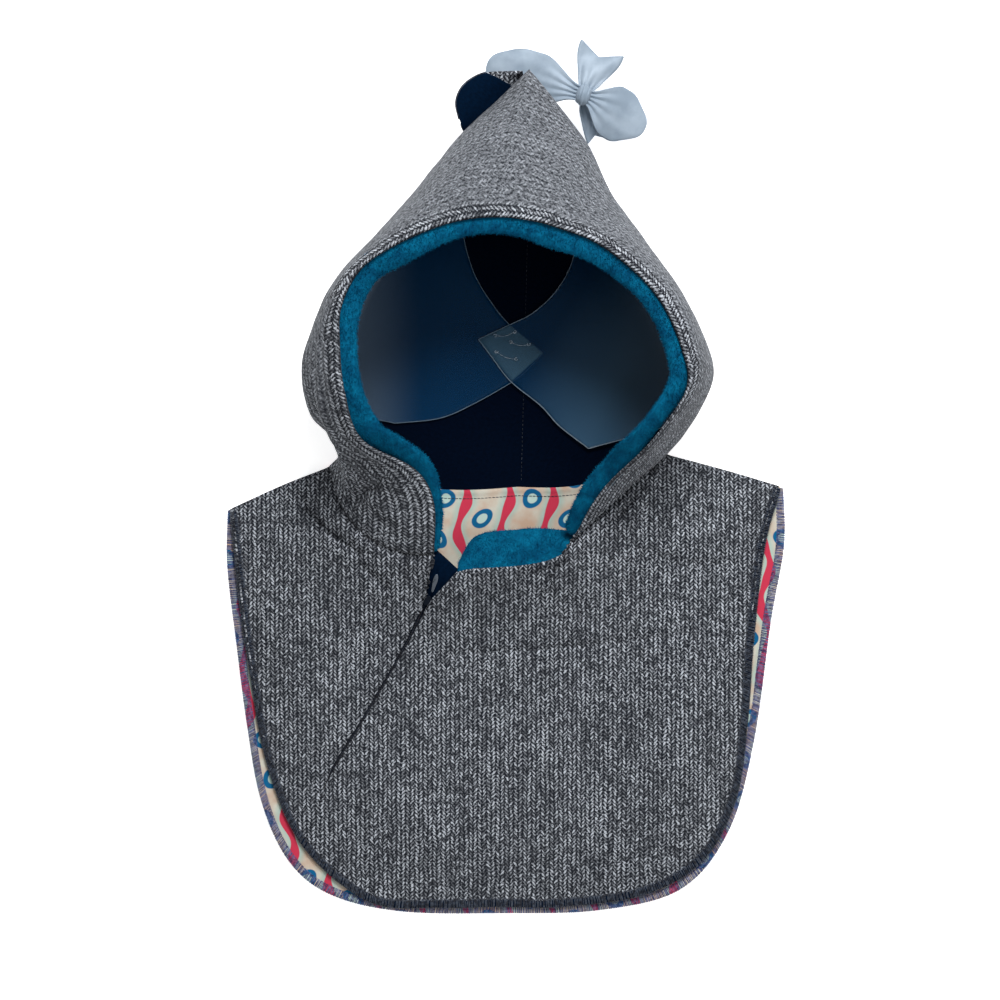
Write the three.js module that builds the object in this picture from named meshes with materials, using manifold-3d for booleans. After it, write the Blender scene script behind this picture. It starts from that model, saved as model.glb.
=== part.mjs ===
// A pointed rain hood with a bib, lying on its back with the face opening upwards.
// The hood is a hollow cloth bag whose point runs out along +Y. The bib has a front panel with a short slanting
// zip and a back panel with a printed lining, both oversewn round their edges. A curved clear sheet in two
// halves lies inside the hood and holds it open. A soft bow and a strap loop are sewn on behind the point.
// Millimetres. X is the wearer's left, Y runs from the bib's hem to the hood's point, Z up is the wearer's
// front.
// The origin is on the surface that the hood lies on, under the middle of its outline.
import * as THREE from 'three';
import { mergeVertices } from 'three/addons/utils/BufferGeometryUtils.js';
import Module from 'manifold-3d';

const wasm = await Module();
wasm.setup();

// Driving dimensions
const CLOTH = 1.4;            // softshell cloth of the hood and the bib
const LINING = 0.8;           // lining cloth
const SEAM_GAP = 0.4;         // clearance between two layers or two pieces of cloth
const SHEET = 0.6;            // clear plastic sheet
const EDGE_WIDTH = 5;         // width of the oversewn edges
const EDGE_THICK = 2.4;       // height of the oversewn edges
const ZIP_SLIT = 1.8;         // open width of the zip's slit
const ZIP_TAPE = 13;          // width of the zip's tape
const CREST_X = 8.4;          // the hood's centre back seam, at the neck
const CREST_LEAN = 0.0256;    // and how far it leans to +X for each millimetre of Y
const BIB_LIFT = 3.4;         // underside of the front panel at its edges, above the back lining
const BIB_CROWN = 6;          // how much further the front panel stands up in its middle
const NECK_FALL = 36;         // distance over which the front panel comes down from the neck

// The hood, one row for each ray of cloth from the rim of the face opening out and round to the centre back
// seam.
// rim: the edge of the face opening. side: the widest outline.
// round: 2 is a full elliptical shoulder between rim and side, 1 a straight slope. bowX, bowY: how far the ray
// bows aside between rim and side. sag: how far it bows towards the bib on the floor. roll: width of plush in
// view.
const HOOD_RAYS = [
  {
    ray: 'right neck', rim: [41.2, -40.0, 42], side: [100.8, 13.6, 7],
    round: 1.5, bowX: 0, bowY: 0, sag: 8.5, roll: 8,
  },
  {
    ray: 'right jaw', rim: [57.7, -10.7, 62], side: [113.2, 28.0, 20],
    round: 1.8, bowX: 0, bowY: 0, sag: 2, roll: 11,
  },
  {
    ray: 'right low cheek', rim: [85.8, 17.4, 84], side: [124.2, 48.9, 36],
    round: 2, bowX: 0, bowY: 0, sag: 2, roll: 12,
  },
  {
    ray: 'right cheek', rim: [107.1, 49.3, 98], side: [127.5, 65.8, 42],
    round: 2, bowX: 0, bowY: 0, sag: 0, roll: 10,
  },
  {
    ray: 'right temple', rim: [105.0, 73.9, 104], side: [121.2, 84.1, 44],
    round: 2.2, bowX: 0, bowY: 0, sag: 0, roll: 9,
  },
  {
    ray: 'right brow', rim: [88.9, 107.0, 106], side: [107.1, 112.0, 46],
    round: 2.2, bowX: 0, bowY: 0, sag: 0, roll: 9,
  },
  {
    ray: 'right crown', rim: [58.1, 134.6, 108], side: [87.6, 142.1, 44],
    round: 1.7, bowX: 0, bowY: 0, sag: 0, roll: 11,
  },
  {
    ray: 'right peak', rim: [27.9, 147.0, 108], side: [65.8, 171.8, 40],
    round: 1.5, bowX: 0, bowY: 0, sag: 0, roll: 12,
  },
  {
    ray: 'right point', rim: [9.0, 151.2, 108], side: [50.0, 205.9, 36],
    round: 1.35, bowX: 0, bowY: 0, sag: 0, roll: 10,
  },
  {
    ray: 'tip', rim: [-4.6, 152.3, 108], side: [15.0, 249.1, 34],
    round: 1.2, bowX: 0, bowY: 0, sag: 0, roll: 9,
  },
  {
    ray: 'left point', rim: [-20.5, 151.2, 108], side: [-16.3, 219.4, 36],
    round: 1.35, bowX: 0, bowY: 0, sag: 0, roll: 9,
  },
  {
    ray: 'left peak', rim: [-38.3, 147.0, 108], side: [-48.7, 182.6, 41],
    round: 1.5, bowX: 0, bowY: 0, sag: 0, roll: 10,
  },
  {
    ray: 'left crown', rim: [-61.9, 137.0, 108], side: [-79.7, 145.0, 46],
    round: 2, bowX: 0, bowY: 0, sag: 0, roll: 12,
  },
  {
    ray: 'left brow', rim: [-84.4, 122.3, 106], side: [-105.8, 113.1, 48],
    round: 2.6, bowX: 0, bowY: 0, sag: 0, roll: 12,
  },
  {
    ray: 'left temple', rim: [-96.4, 100.6, 104], side: [-119.4, 80.9, 46],
    round: 2.3, bowX: 0, bowY: 0, sag: 0, roll: 12,
  },
  {
    ray: 'left cheek', rim: [-97.7, 77.0, 102], side: [-123.0, 61.5, 44],
    round: 2, bowX: 0, bowY: 0, sag: 0, roll: 10,
  },
  {
    ray: 'left low cheek', rim: [-94.9, 48.7, 98], side: [-119.8, 39.6, 38],
    round: 2, bowX: 0, bowY: 0, sag: 0, roll: 11,
  },
  {
    ray: 'left jaw', rim: [-85.3, 21.6, 86], side: [-110.0, 23.9, 28],
    round: 2, bowX: 0, bowY: 0, sag: 2, roll: 13,
  },
  {
    ray: 'left collar top', rim: [-54.1, 3.8, 66], side: [-104.9, 14.5, 19],
    round: 1.8, bowX: -6, bowY: -8, sag: 2, roll: 9,
  },
  {
    ray: 'left collar', rim: [-43.0, -16.7, 52], side: [-105.9, 9.9, 12],
    round: 1.6, bowX: -8, bowY: -12, sag: 4, roll: 5,
  },
  {
    ray: 'left neck', rim: [-43.2, -49.2, 38], side: [-109.2, 6.3, 7],
    round: 1.5, bowX: -12, bowY: -14, sag: 8, roll: 3,
  },
];
const TIP_RAY = HOOD_RAYS.findIndex((row) => row.ray === 'tip');
const LAST_RAY = HOOD_RAYS.length - 1;
// The centre back seam from the neck to the tip, as y, z. Rays of both sides end on it.
const BACK_SEAM = [
  [-8.7, 0], [8.8, 0], [32, 0], [56.9, 0], [85, 0], [116.3, 0], [150.6, 0], [185, 1], [218.9, 7], [249.1, 34],
];
const HEEL_REACH = 28;        // how far under the hood the side rounds down on to the floor
const SHOULDER_STEPS = [0, 0.11, 0.19, 0.27, 0.34, 0.42], HEEL_STEPS = 3, FLOOR_STEPS = 3;

// The neckline of the front panel, from the top of the zip to the hood's right neck, as x, y, z
const NECKLINE = [
  [-29.2, -59.0, 37], [-20.0, -57.2, 38], [-8.9, -56.6, 38.5], [12.5, -55.0, 39.5], [26.6, -52.3, 40.5],
  [38.5, -46.5, 41.5],
];
// The free edge of the plush neck facing under it, left to right
const FACING_EDGE = [
  [-27.5, -54.5, 30], [-23.8, -45.8, 27], [-18.3, -38.4, 25], [-9.0, -35.3, 24], [4.6, -34.1, 24],
  [20.0, -33.0, 25], [34.5, -35.5, 27],
];
// The zip's line, from its open top to its stop
const ZIP_LINE = [[-48.3, -77.5], [-60.5, -103.1], [-85.4, -146.5], [-104.0, -177.0], [-112.1, -193.1]];
const ZIP_OPEN_LEFT = [-44.2, -50.2], ZIP_OPEN_RIGHT = [-29.6, -59.4];

// Outer edges of the two bib panels, from the right shoulder corner round the hem to the left shoulder corner
const FRONT_EDGE = [
  [172.5, -6.6], [162.3, -44.2], [155.5, -102.1], [151.7, -153.2], [144.3, -201.8], [123.7, -239.8],
  [87.6, -261.0], [34.6, -268.6], [-2.8, -268.5], [-40.2, -269.1], [-83.8, -265.6], [-125.6, -231.1],
  [-148.0, -180.0], [-159.2, -120.8], [-165.4, -77.2], [-171.2, -20.6],
];
const BACK_EDGE = [
  [173.9, -6.2], [174.5, -43.0], [166.4, -89.8], [155.8, -164.7], [140.1, -220.9], [110.2, -257.6],
  [59.6, -270.8], [-2.8, -272.7], [-65.2, -271.5], [-108.9, -261.0], [-135.1, -239.6], [-152.0, -202.2],
  [-160.7, -155.3], [-167.6, -102.3], [-173.0, -55.5], [-172.6, -19.9],
];
// The shoulder seams, from the neck out to the corner
const SHOULDER_RIGHT = [[102.5, 13.0], [138.6, 3.4], [172.5, -6.6]];
const SHOULDER_LEFT = [[-110.7, 5.1], [-139.3, -6.2], [-171.2, -20.6]];

// Folds in the front panel: a ridge, or a dip where lift is below 0, along a line from x0, y0 to x1, y1
const FOLDS = [
  { fold: 'left collar dip', x0: -134, y0: -22, x1: -92, y1: -52, lift: -4.5, width: 9 },
  { fold: 'left collar ridge', x0: -140, y0: -34, x1: -100, y1: -66, lift: 2.5, width: 12 },
  { fold: 'left breast crease', x0: -92, y0: -48, x1: -46, y1: -58, lift: -2, width: 5 },
  { fold: 'right neck dip', x0: 60, y0: -44, x1: 104, y1: -8, lift: -4, width: 10 },
  { fold: 'right shoulder ridge', x0: 84, y0: -50, x1: 150, y1: -32, lift: 3, width: 13 },
  { fold: 'hanging fold', x0: 18, y0: -74, x1: 6, y1: -140, lift: 2.5, width: 14 },
  { fold: 'chest crease', x0: -40, y0: -106, x1: 90, y1: -101, lift: -1.2, width: 5 },
];

// A spline through rows of two or three numbers, read at a row number that needn't be whole
function spline(points, closed = false) {
  const vectors = points.map(([x, y, z = 0]) => new THREE.Vector3(x, y, z));
  const curve = new THREE.CatmullRomCurve3(vectors, closed, 'catmullrom', 0.5);
  const rows = points.length - 1;
  return {
    rows,
    at: (row) => curve.getPoint(Math.min(Math.max(row / rows, 0), 1)),
    spaced: (n) => curve.getSpacedPoints(n),
  };
}

const column = (name) => HOOD_RAYS.map((row) => row[name]);
const rimSpline = spline(column('rim'));
const sideRight = spline(column('side').slice(0, TIP_RAY + 1));
const sideLeft = spline(column('side').slice(TIP_RAY));
const backSeam = spline(BACK_SEAM);
const roundSpline = spline(HOOD_RAYS.map((row) => [row.round, 0, 0]));
const bowSpline = spline(HOOD_RAYS.map((row) => [row.bowX, row.bowY, row.sag]));
const rollSpline = spline(HOOD_RAYS.map((row) => [row.roll, 0, 0]));

// A point of the hood's outside: ray counts along HOOD_RAYS, and v runs from 0 at the rim to 1 on the back seam
function hoodPoint(ray, v) {
  const onRight = ray <= TIP_RAY;
  const rim = rimSpline.at(ray);
  const side = onRight ? sideRight.at(ray) : sideLeft.at(ray - TIP_RAY);
  const fromNeck = onRight ? ray / TIP_RAY : (LAST_RAY - ray) / (LAST_RAY - TIP_RAY);
  const { x: backY, y: backZ } = backSeam.at(fromNeck * backSeam.rows);
  const round = roundSpline.at(ray).x;
  const { x: bowX, y: bowY, z: sag } = bowSpline.at(ray);
  const back = new THREE.Vector3(CREST_X + (backY + 8.7) * CREST_LEAN, backY, Math.max(backZ, 0));
  if (v <= 0.5) {
    const angle = v * Math.PI;
    const out = Math.sin(angle) ** (2 / round);
    const high = Math.max(Math.cos(angle), 0) ** (2 / round);
    const bow = 4 * out * (1 - out);
    return new THREE.Vector3(
      rim.x + (side.x - rim.x) * out + bowX * bow,
      rim.y + (side.y - rim.y) * out + bowY * bow,
      side.z + (rim.z - side.z) * high,
    );
  }
  const reach = Math.hypot(back.x - side.x, back.y - side.y);
  const heel = Math.min(HEEL_REACH, reach * 0.4, side.z * 1.2) / Math.max(reach, 1e-6);
  let along, low;
  if (v <= 0.75) {
    const angle = (v - 0.5) * 2 * Math.PI;
    along = heel * (1 - Math.cos(angle));
    low = 1 - Math.sin(angle);
  } else {
    along = heel + (1 - heel) * (v - 0.75) * 4;
    low = 0;
  }
  return new THREE.Vector3(
    side.x + (back.x - side.x) * along,
    side.y + (back.y - side.y) * along - sag * Math.sin(Math.PI * along),
    back.z + (side.z - back.z) * low,
  );
}

// An open sheet: points with doubles merged, and triangles of point numbers
class Sheet {
  constructor() {
    this.points = [];
    this.triangles = [];
    this.steps = [];
    this.known = new Map();
  }

  point(p) {
    const key = [p.x, p.y, p.z].map((c) => Math.round(c * 1000)).join();
    if (!this.known.has(key)) {
      this.known.set(key, this.points.length);
      this.points.push(p.clone());
    }
    return this.known.get(key);
  }

  triangle(a, b, c, step = 0) {
    if (a === b || b === c || c === a) return;
    this.triangles.push([a, b, c]);
    this.steps.push(step);
  }

  // rows: lists of points, all of one length, that follow each other along the sheet
  static fromRows(rows) {
    const sheet = new Sheet();
    const numbers = rows.map((row) => row.map((p) => sheet.point(p)));
    for (let i = 0; i + 1 < rows.length; i++) {
      for (let j = 0; j + 1 < rows[i].length; j++) {
        const [a, b, c, d] = [numbers[i][j], numbers[i + 1][j], numbers[i + 1][j + 1], numbers[i][j + 1]];
        sheet.triangle(a, b, c, j);
        sheet.triangle(a, c, d, j);
      }
    }
    return sheet;
  }

  // A direction at each point that moves every face round it by about the same distance
  normals() {
    const faces = this.triangles.map(([a, b, c]) => {
      const [p, q, r] = [this.points[a], this.points[b], this.points[c]];
      return q.clone().sub(p).cross(r.clone().sub(p));
    });
    const sums = this.points.map(() => new THREE.Vector3());
    this.triangles.forEach((corners, i) => corners.forEach((corner) => sums[corner].add(faces[i])));
    sums.forEach((sum) => sum.normalize());
    const least = sums.map(() => 1);
    this.triangles.forEach((corners, i) => {
      const face = faces[i].normalize();
      for (const corner of corners) least[corner] = Math.min(least[corner], face.dot(sums[corner]));
    });
    return sums.map((sum, i) => sum.multiplyScalar(1 / Math.max(least[i], 0.55)));
  }

  // A closed wall between the sheet moved by near and by far along its normals, near being the outer face.
  // The steps before firstStep are left out.
  wall(near, far, firstStep = 0) {
    const normals = this.normals();
    const layer = (shift) => this.points.map((p, i) => p.clone().addScaledVector(normals[i], shift));
    const points = [...layer(near), ...layer(far)];
    const n = this.points.length;
    const triangles = [];
    const edges = new Map();
    for (const [a, b, c] of this.triangles.filter((_, i) => this.steps[i] >= firstStep)) {
      triangles.push([a, b, c], [a + n, c + n, b + n]);
      for (const [from, to] of [[a, b], [b, c], [c, a]]) {
        if (edges.has(`${to},${from}`)) edges.delete(`${to},${from}`);
        else edges.set(`${from},${to}`, [from, to]);
      }
    }
    for (const [from, to] of edges.values()) triangles.push([from, to + n, to], [from, from + n, to + n]);
    const geometry = new THREE.BufferGeometry();
    const numbers = points.flatMap((p) => [p.x, p.y, p.z]);
    geometry.setAttribute('position', new THREE.Float32BufferAttribute(numbers, 3));
    geometry.setIndex(triangles.flat());
    return geometry;
  }
}

// manifold-3d solids from and to three.js geometry
function toSolid(geometry) {
  const bare = geometry.clone();
  bare.deleteAttribute('normal');
  bare.deleteAttribute('uv');
  const merged = mergeVertices(bare, 1e-4);
  return new wasm.Manifold(new wasm.Mesh({
    numProp: 3,
    vertProperties: new Float32Array(merged.attributes.position.array),
    triVerts: new Uint32Array(merged.index.array),
  }));
}

function toGeometry(solid) {
  const mesh = solid.getMesh();
  const geometry = new THREE.BufferGeometry();
  geometry.setAttribute('position', new THREE.BufferAttribute(new Float32Array(mesh.vertProperties), 3));
  geometry.setIndex(new THREE.BufferAttribute(new Uint32Array(mesh.triVerts), 1));
  return geometry;
}

// An upright block of the given outline, a list of Vector2 or Vector3
function prism(outline, low, high) {
  const shape = new THREE.Shape(outline.map((p) => new THREE.Vector2(p.x, p.y)));
  return new THREE.ExtrudeGeometry(shape, { depth: high - low, bevelEnabled: false }).translate(0, 0, low);
}

// A surface over a rectangle, kept as heights at the corners of its cells
class Relief {
  constructor([x0, y0, x1, y1], cell, height) {
    this.corner = [x0, y0];
    this.count = [Math.ceil((x1 - x0) / cell), Math.ceil((y1 - y0) / cell)];
    this.cell = [(x1 - x0) / this.count[0], (y1 - y0) / this.count[1]];
    this.rows = [];
    for (let i = 0; i <= this.count[0]; i++) {
      const row = [];
      for (let j = 0; j <= this.count[1]; j++) {
        const x = x0 + i * this.cell[0], y = y0 + j * this.cell[1];
        row.push(new THREE.Vector3(x, y, height(x, y)));
      }
      this.rows.push(row);
    }
  }

  // Height at x, y on the two triangles of its cell
  at(x, y) {
    const fx = (x - this.corner[0]) / this.cell[0], fy = (y - this.corner[1]) / this.cell[1];
    const i = Math.min(Math.max(Math.floor(fx), 0), this.count[0] - 1);
    const j = Math.min(Math.max(Math.floor(fy), 0), this.count[1] - 1);
    const [u, w] = [fx - i, fy - j];
    const [a, b] = [this.rows[i][j].z, this.rows[i + 1][j].z];
    const [c, d] = [this.rows[i + 1][j + 1].z, this.rows[i][j + 1].z];
    return u >= w ? a + (b - a) * u + (c - b) * w : a + (c - d) * u + (d - a) * w;
  }

  // A closed slab between the surface moved up by low and by high
  slab(low, high) {
    const sheet = Sheet.fromRows(this.rows);
    const up = new THREE.Vector3(0, 0, 1);
    sheet.normals = () => sheet.points.map(() => up);
    return sheet.wall(high, low);
  }
}

// A strip of rectangular section along a path, width to its left and height upwards from the path's own height
function strip(path, width, height) {
  const sections = path.map((p, i) => {
    const ahead = path[Math.min(i + 1, path.length - 1)], behind = path[Math.max(i - 1, 0)];
    const left = new THREE.Vector3(behind.y - ahead.y, ahead.x - behind.x, 0).normalize().multiplyScalar(width);
    const far = p.clone().add(left);
    const up = new THREE.Vector3(0, 0, height);
    return [p.clone(), far, far.clone().add(up), p.clone().add(up)];
  });
  return loft(sections);
}

// A closed solid through sections, each a ring of the same number of points turning the same way
function loft(sections) {
  const n = sections[0].length;
  const points = sections.flat();
  const triangles = [];
  for (let i = 0; i + 1 < sections.length; i++) {
    for (let j = 0; j < n; j++) {
      const [a, b] = [i * n + j, i * n + ((j + 1) % n)];
      triangles.push([a, b, b + n], [a, b + n, a + n]);
    }
  }
  const last = (sections.length - 1) * n;
  for (let j = 1; j + 1 < n; j++) triangles.push([0, j + 1, j], [last, last + j, last + j + 1]);
  const geometry = new THREE.BufferGeometry();
  const numbers = points.flatMap((p) => [p.x, p.y, p.z]);
  geometry.setAttribute('position', new THREE.Float32BufferAttribute(numbers, 3));
  geometry.setIndex(triangles.flat());
  return outwards(geometry);
}

// Turns every face round if the closed geometry encloses a negative volume
function outwards(geometry) {
  const p = geometry.attributes.position, index = geometry.index.array;
  let volume = 0;
  const [a, b, c] = [new THREE.Vector3(), new THREE.Vector3(), new THREE.Vector3()];
  for (let i = 0; i < index.length; i += 3) {
    a.fromBufferAttribute(p, index[i]);
    b.fromBufferAttribute(p, index[i + 1]);
    c.fromBufferAttribute(p, index[i + 2]);
    volume += a.dot(b.cross(c));
  }
  if (volume < 0) {
    for (let i = 0; i < index.length; i += 3) {
      [index[i + 1], index[i + 2]] = [index[i + 2], index[i + 1]];
    }
  }
  return geometry;
}

function smooth(t) {
  const s = Math.min(Math.max(t, 0), 1);
  return s * s * (3 - 2 * s);
}

// The hood's cloth from the rim to the back seam, where the rays of the two sides meet in pairs
const HALF_STATIONS = 19;
function hoodSheet() {
  const vs = [...SHOULDER_STEPS, 0.5];
  for (let k = 1; k <= HEEL_STEPS; k++) vs.push(0.5 + (0.25 * k) / HEEL_STEPS);
  for (let k = 1; k <= FLOOR_STEPS; k++) vs.push(0.75 + (0.25 * k) / FLOOR_STEPS);
  const rays = [];
  for (let i = 0; i <= HALF_STATIONS; i++) rays.push((TIP_RAY * i) / HALF_STATIONS);
  for (let i = 1; i <= HALF_STATIONS; i++) rays.push(TIP_RAY + ((LAST_RAY - TIP_RAY) * i) / HALF_STATIONS);
  return Sheet.fromRows(rays.reverse().map((ray) => vs.map((v) => hoodPoint(ray, v))));
}

const materials = {
  herringbone: new THREE.MeshStandardMaterial({ color: 0x6b6f78, roughness: 0.9, metalness: 0 }),
  navy: new THREE.MeshStandardMaterial({ color: 0x060c1c, roughness: 0.85, metalness: 0 }),
  plush: new THREE.MeshStandardMaterial({ color: 0x04587a, roughness: 0.95, metalness: 0 }),
  print: new THREE.MeshStandardMaterial({ color: 0xd8bfa6, roughness: 0.85, metalness: 0 }),
  thread: new THREE.MeshStandardMaterial({ color: 0x1b2233, roughness: 0.8, metalness: 0 }),
  reflective: new THREE.MeshStandardMaterial({ color: 0xb0bfd0, roughness: 0.5, metalness: 0 }),
  metal: new THREE.MeshStandardMaterial({ color: 0x9aa3ad, roughness: 0.35, metalness: 1 }),
  clear: new THREE.MeshStandardMaterial({
    color: 0x9fb6cc, roughness: 0.15, metalness: 0, transparent: true, opacity: 0.3,
  }),
};

const hood = new THREE.Group();
function add(name, geometry, material) {
  const mesh = new THREE.Mesh(geometry, materials[material]);
  mesh.name = name;
  hood.add(mesh);
  return mesh;
}

const hoodCloth = hoodSheet();
add('hood_shell', outwards(hoodCloth.wall(0, -CLOTH)), 'herringbone');
const liningFrom = CLOTH + SEAM_GAP;
add('hood_lining', outwards(hoodCloth.wall(-liningFrom, -liningFrom - LINING, 1)), 'navy');

// The plush roll round the face opening, tucked under the hood's edge
const ROLL_TUCK = 1.2, ROLL_HALF_HEIGHT = 2.6, ROLL_SIDES = 8, ROLL_STEPS = 38;
function rollSections(first, last) {
  const sections = [];
  for (let i = 0; i <= ROLL_STEPS; i++) {
    const ray = first + ((last - first) * i) / ROLL_STEPS;
    const rim = rimSpline.at(ray);
    const along = rimSpline.at(ray + 0.05).sub(rimSpline.at(ray - 0.05)).normalize();
    const outward = hoodPoint(ray, 0.06).sub(hoodPoint(ray, 0)).setZ(0).normalize();
    const up = along.clone().cross(outward).normalize().negate();
    outward.crossVectors(up, along).negate().normalize();
    const half = (rollSpline.at(ray).x + ROLL_TUCK) / 2;
    const centre = rim.clone().addScaledVector(outward, ROLL_TUCK - half);
    centre.addScaledVector(up, -CLOTH - 4 * SEAM_GAP - ROLL_HALF_HEIGHT);
    sections.push(Array.from({ length: ROLL_SIDES }, (_, k) => {
      const angle = (2 * Math.PI * k) / ROLL_SIDES;
      const p = centre.clone().addScaledVector(outward, half * Math.cos(angle));
      return p.addScaledVector(up, ROLL_HALF_HEIGHT * Math.sin(angle));
    }));
  }
  return sections;
}
add('face_facing', loft(rollSections(0.6, LAST_RAY - 0.35)), 'plush');

// Heights of the front panel: low at its edges, crowned in its middle, raised to the neck, with its folds
const neckSamples = [
  ...Array.from({ length: 16 }, (_, i) => hoodPoint(0, (0.5 * i) / 15)),
  ...spline(NECKLINE).spaced(12),
  ...Array.from({ length: 16 }, (_, i) => hoodPoint(LAST_RAY, (0.5 * i) / 15)),
];
const frontOutline = spline(FRONT_EDGE).spaced(46);
const edgeSamples = [...frontOutline, ...spline(SHOULDER_RIGHT).spaced(8), ...spline(SHOULDER_LEFT).spaced(8)];

function nearest(samples, x, y) {
  return samples.reduce((least, p) => Math.min(least, Math.hypot(p.x - x, p.y - y)), Infinity);
}

function foldLift(x, y) {
  let lift = 0;
  for (const { x0, y0, x1, y1, lift: height, width } of FOLDS) {
    const length = Math.hypot(x1 - x0, y1 - y0);
    const along = ((x - x0) * (x1 - x0) + (y - y0) * (y1 - y0)) / length;
    const across = ((x - x0) * (y1 - y0) - (y - y0) * (x1 - x0)) / length;
    const past = Math.max(-along, along - length, 0);
    lift += height * Math.exp(-((across / width) ** 2)) * Math.exp(-((past / (2 * width)) ** 2));
  }
  return lift;
}

function frontUnderside(x, y) {
  const fromEdge = nearest(edgeSamples, x, y);
  const crown = BIB_LIFT + BIB_CROWN * smooth(fromEdge / 60);
  let weights = 0, neckHeight = 0;
  for (const p of neckSamples) {
    const weight = 1 / ((p.x - x) ** 2 + (p.y - y) ** 2 + 2) ** 2;
    weights += weight;
    neckHeight += weight * p.z;
  }
  neckHeight = neckHeight / weights - CLOTH;
  const raised = Math.exp(-((nearest(neckSamples, x, y) / NECK_FALL) ** 1.4));
  const free = smooth(fromEdge / 12) * (1 - raised * 0.6);
  return crown + Math.max(neckHeight - crown, 0) * raised + foldLift(x, y) * free;
}

// The front panel, cut to its outline: the hem, the shoulders, the neck seams, the neckline and the zip's slit
const NECK_GAP = 0.9;
const neckSeam = (ray, gap) => Array.from({ length: 14 }, (_, i) => {
  const v = (0.5 * i) / 13;
  const p = hoodPoint(ray, v);
  const q = hoodPoint(ray, Math.min(v + 0.02, 0.5)), o = hoodPoint(ray, Math.max(v - 0.02, 0));
  const along = q.sub(o).setZ(0).normalize();
  const away = ray === 0 ? new THREE.Vector3(along.y, -along.x, 0) : new THREE.Vector3(-along.y, along.x, 0);
  return p.addScaledVector(away, gap);
});

function inset(path, distance) {
  return path.map((p, i) => {
    const ahead = path[Math.min(i + 1, path.length - 1)], behind = path[Math.max(i - 1, 0)];
    const inward = new THREE.Vector3(ahead.y - behind.y, behind.x - ahead.x, 0).normalize();
    return p.clone().addScaledVector(inward, distance);
  });
}

const frontHem = inset(frontOutline, EDGE_WIDTH + SEAM_GAP);
const frontShape = [
  ...neckSeam(0, NECK_GAP),
  ...spline(SHOULDER_RIGHT).spaced(4).slice(1, -1),
  ...frontHem,
  ...spline(SHOULDER_LEFT).spaced(4).reverse().slice(1, -1),
  ...neckSeam(LAST_RAY, NECK_GAP).reverse(),
  new THREE.Vector3(...ZIP_OPEN_LEFT, 0),
  new THREE.Vector3(...ZIP_LINE[0], 0).add(new THREE.Vector3(-ZIP_SLIT / 2, 0, 0)),
  new THREE.Vector3(...ZIP_LINE[0], 0).add(new THREE.Vector3(ZIP_SLIT / 2, 0, 0)),
  new THREE.Vector3(...ZIP_OPEN_RIGHT, 0),
  ...spline(NECKLINE).spaced(9).slice(1),
];
const frontRelief = new Relief([-176, -272, 176, 18], 17, frontUnderside);
const zipPath = spline(ZIP_LINE).spaced(10);
const zipSlit = prism([...inset(zipPath, -ZIP_SLIT / 2), ...inset(zipPath, ZIP_SLIT / 2).reverse()], -5, 80);
const frontSlab = toSolid(frontRelief.slab(0, CLOTH));
const frontCut = frontSlab.intersect(toSolid(prism(frontShape, -5, 80))).subtract(toSolid(zipSlit));
add('front_panel', toGeometry(frontCut), 'herringbone');

// The oversewn edge of the front panel
const onFront = (p, lift = 0) => new THREE.Vector3(p.x, p.y, frontRelief.at(p.x, p.y) + lift);
const frontEdgePath = frontOutline.map((p) => onFront(p, -0.5));
add('front_edge_stitching', strip(frontEdgePath, -EDGE_WIDTH, EDGE_THICK), 'thread');

// The back panel, its printed lining and its oversewn edge, all flat
const heelEdge = (ray, gap) => Array.from({ length: 9 }, (_, i) => hoodPoint(ray, 1 - (0.5 * i) / 8))
  .map((p) => new THREE.Vector3(p.x, p.y - gap, 0));
const backOutline = spline(BACK_EDGE).spaced(46);
const backHem = inset(backOutline, EDGE_WIDTH + SEAM_GAP);
function backShape(gap, margin) {
  return [
    ...heelEdge(0, gap),
    ...spline(SHOULDER_RIGHT).spaced(3).slice(1, -1).map((p) => p.setY(p.y - margin)),
    ...inset(backHem, margin),
    ...spline(SHOULDER_LEFT).spaced(3).reverse().slice(1, -1).map((p) => p.setY(p.y - margin)),
    ...heelEdge(LAST_RAY, gap).reverse(),
  ];
}
const BACK_CLOTH = 1.2;
add('back_panel', prism(backShape(0.5, 0), 0, BACK_CLOTH), 'herringbone');
add('back_lining', prism(backShape(1.2, 0.5), BACK_CLOTH + 0.3, BACK_CLOTH + 0.3 + LINING), 'print');
add('back_edge_stitching', strip(backOutline.map((p) => p.setZ(0.1)), -EDGE_WIDTH, EDGE_THICK), 'thread');

// The plush neck facing, hanging from the neckline into the neck
const FACING_HALF = 1.3;
const facingTop = spline(NECKLINE).spaced(10).map((p) => p.add(new THREE.Vector3(0, 2.2, -FACING_HALF - 0.4)));
const facingFoot = spline(FACING_EDGE).spaced(10);
const facingRows = [0, 0.33, 0.67, 1].map((t) => facingTop.map((p, i) => {
  const q = p.clone().lerp(facingFoot[i], t);
  return q.setZ(q.z + 1.5 * Math.sin(Math.PI * t));
}));
add('neck_facing', outwards(Sheet.fromRows(facingRows).wall(FACING_HALF, -FACING_HALF)), 'plush');

// The zip: tapes and teeth under the slit, a flap of cloth under its open top, the slider and its pull
const zipUnder = zipPath.map((p) => onFront(p, -SEAM_GAP - 1.2));
add('zip_tape', strip(inset(zipUnder, -ZIP_TAPE / 2).slice(1), -ZIP_TAPE, 0.6), 'navy');
const teethLine = inset(zipUnder, -0.45).slice(1).map((p) => p.add(new THREE.Vector3(0, 0, 1)));
add('zip_teeth', strip(teethLine, -0.9, 1.2), 'thread');

const flapOutline = [[-49.5, -52], [-25.5, -61.5], [-37.5, -72.5], [-46.5, -82], [-55.5, -82]];
const flap = toSolid(frontRelief.slab(-1.3, -0.4))
  .intersect(toSolid(prism(flapOutline.map(([x, y]) => new THREE.Vector2(x, y)), -5, 80)));
add('zip_flap', toGeometry(flap), 'navy');

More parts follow.
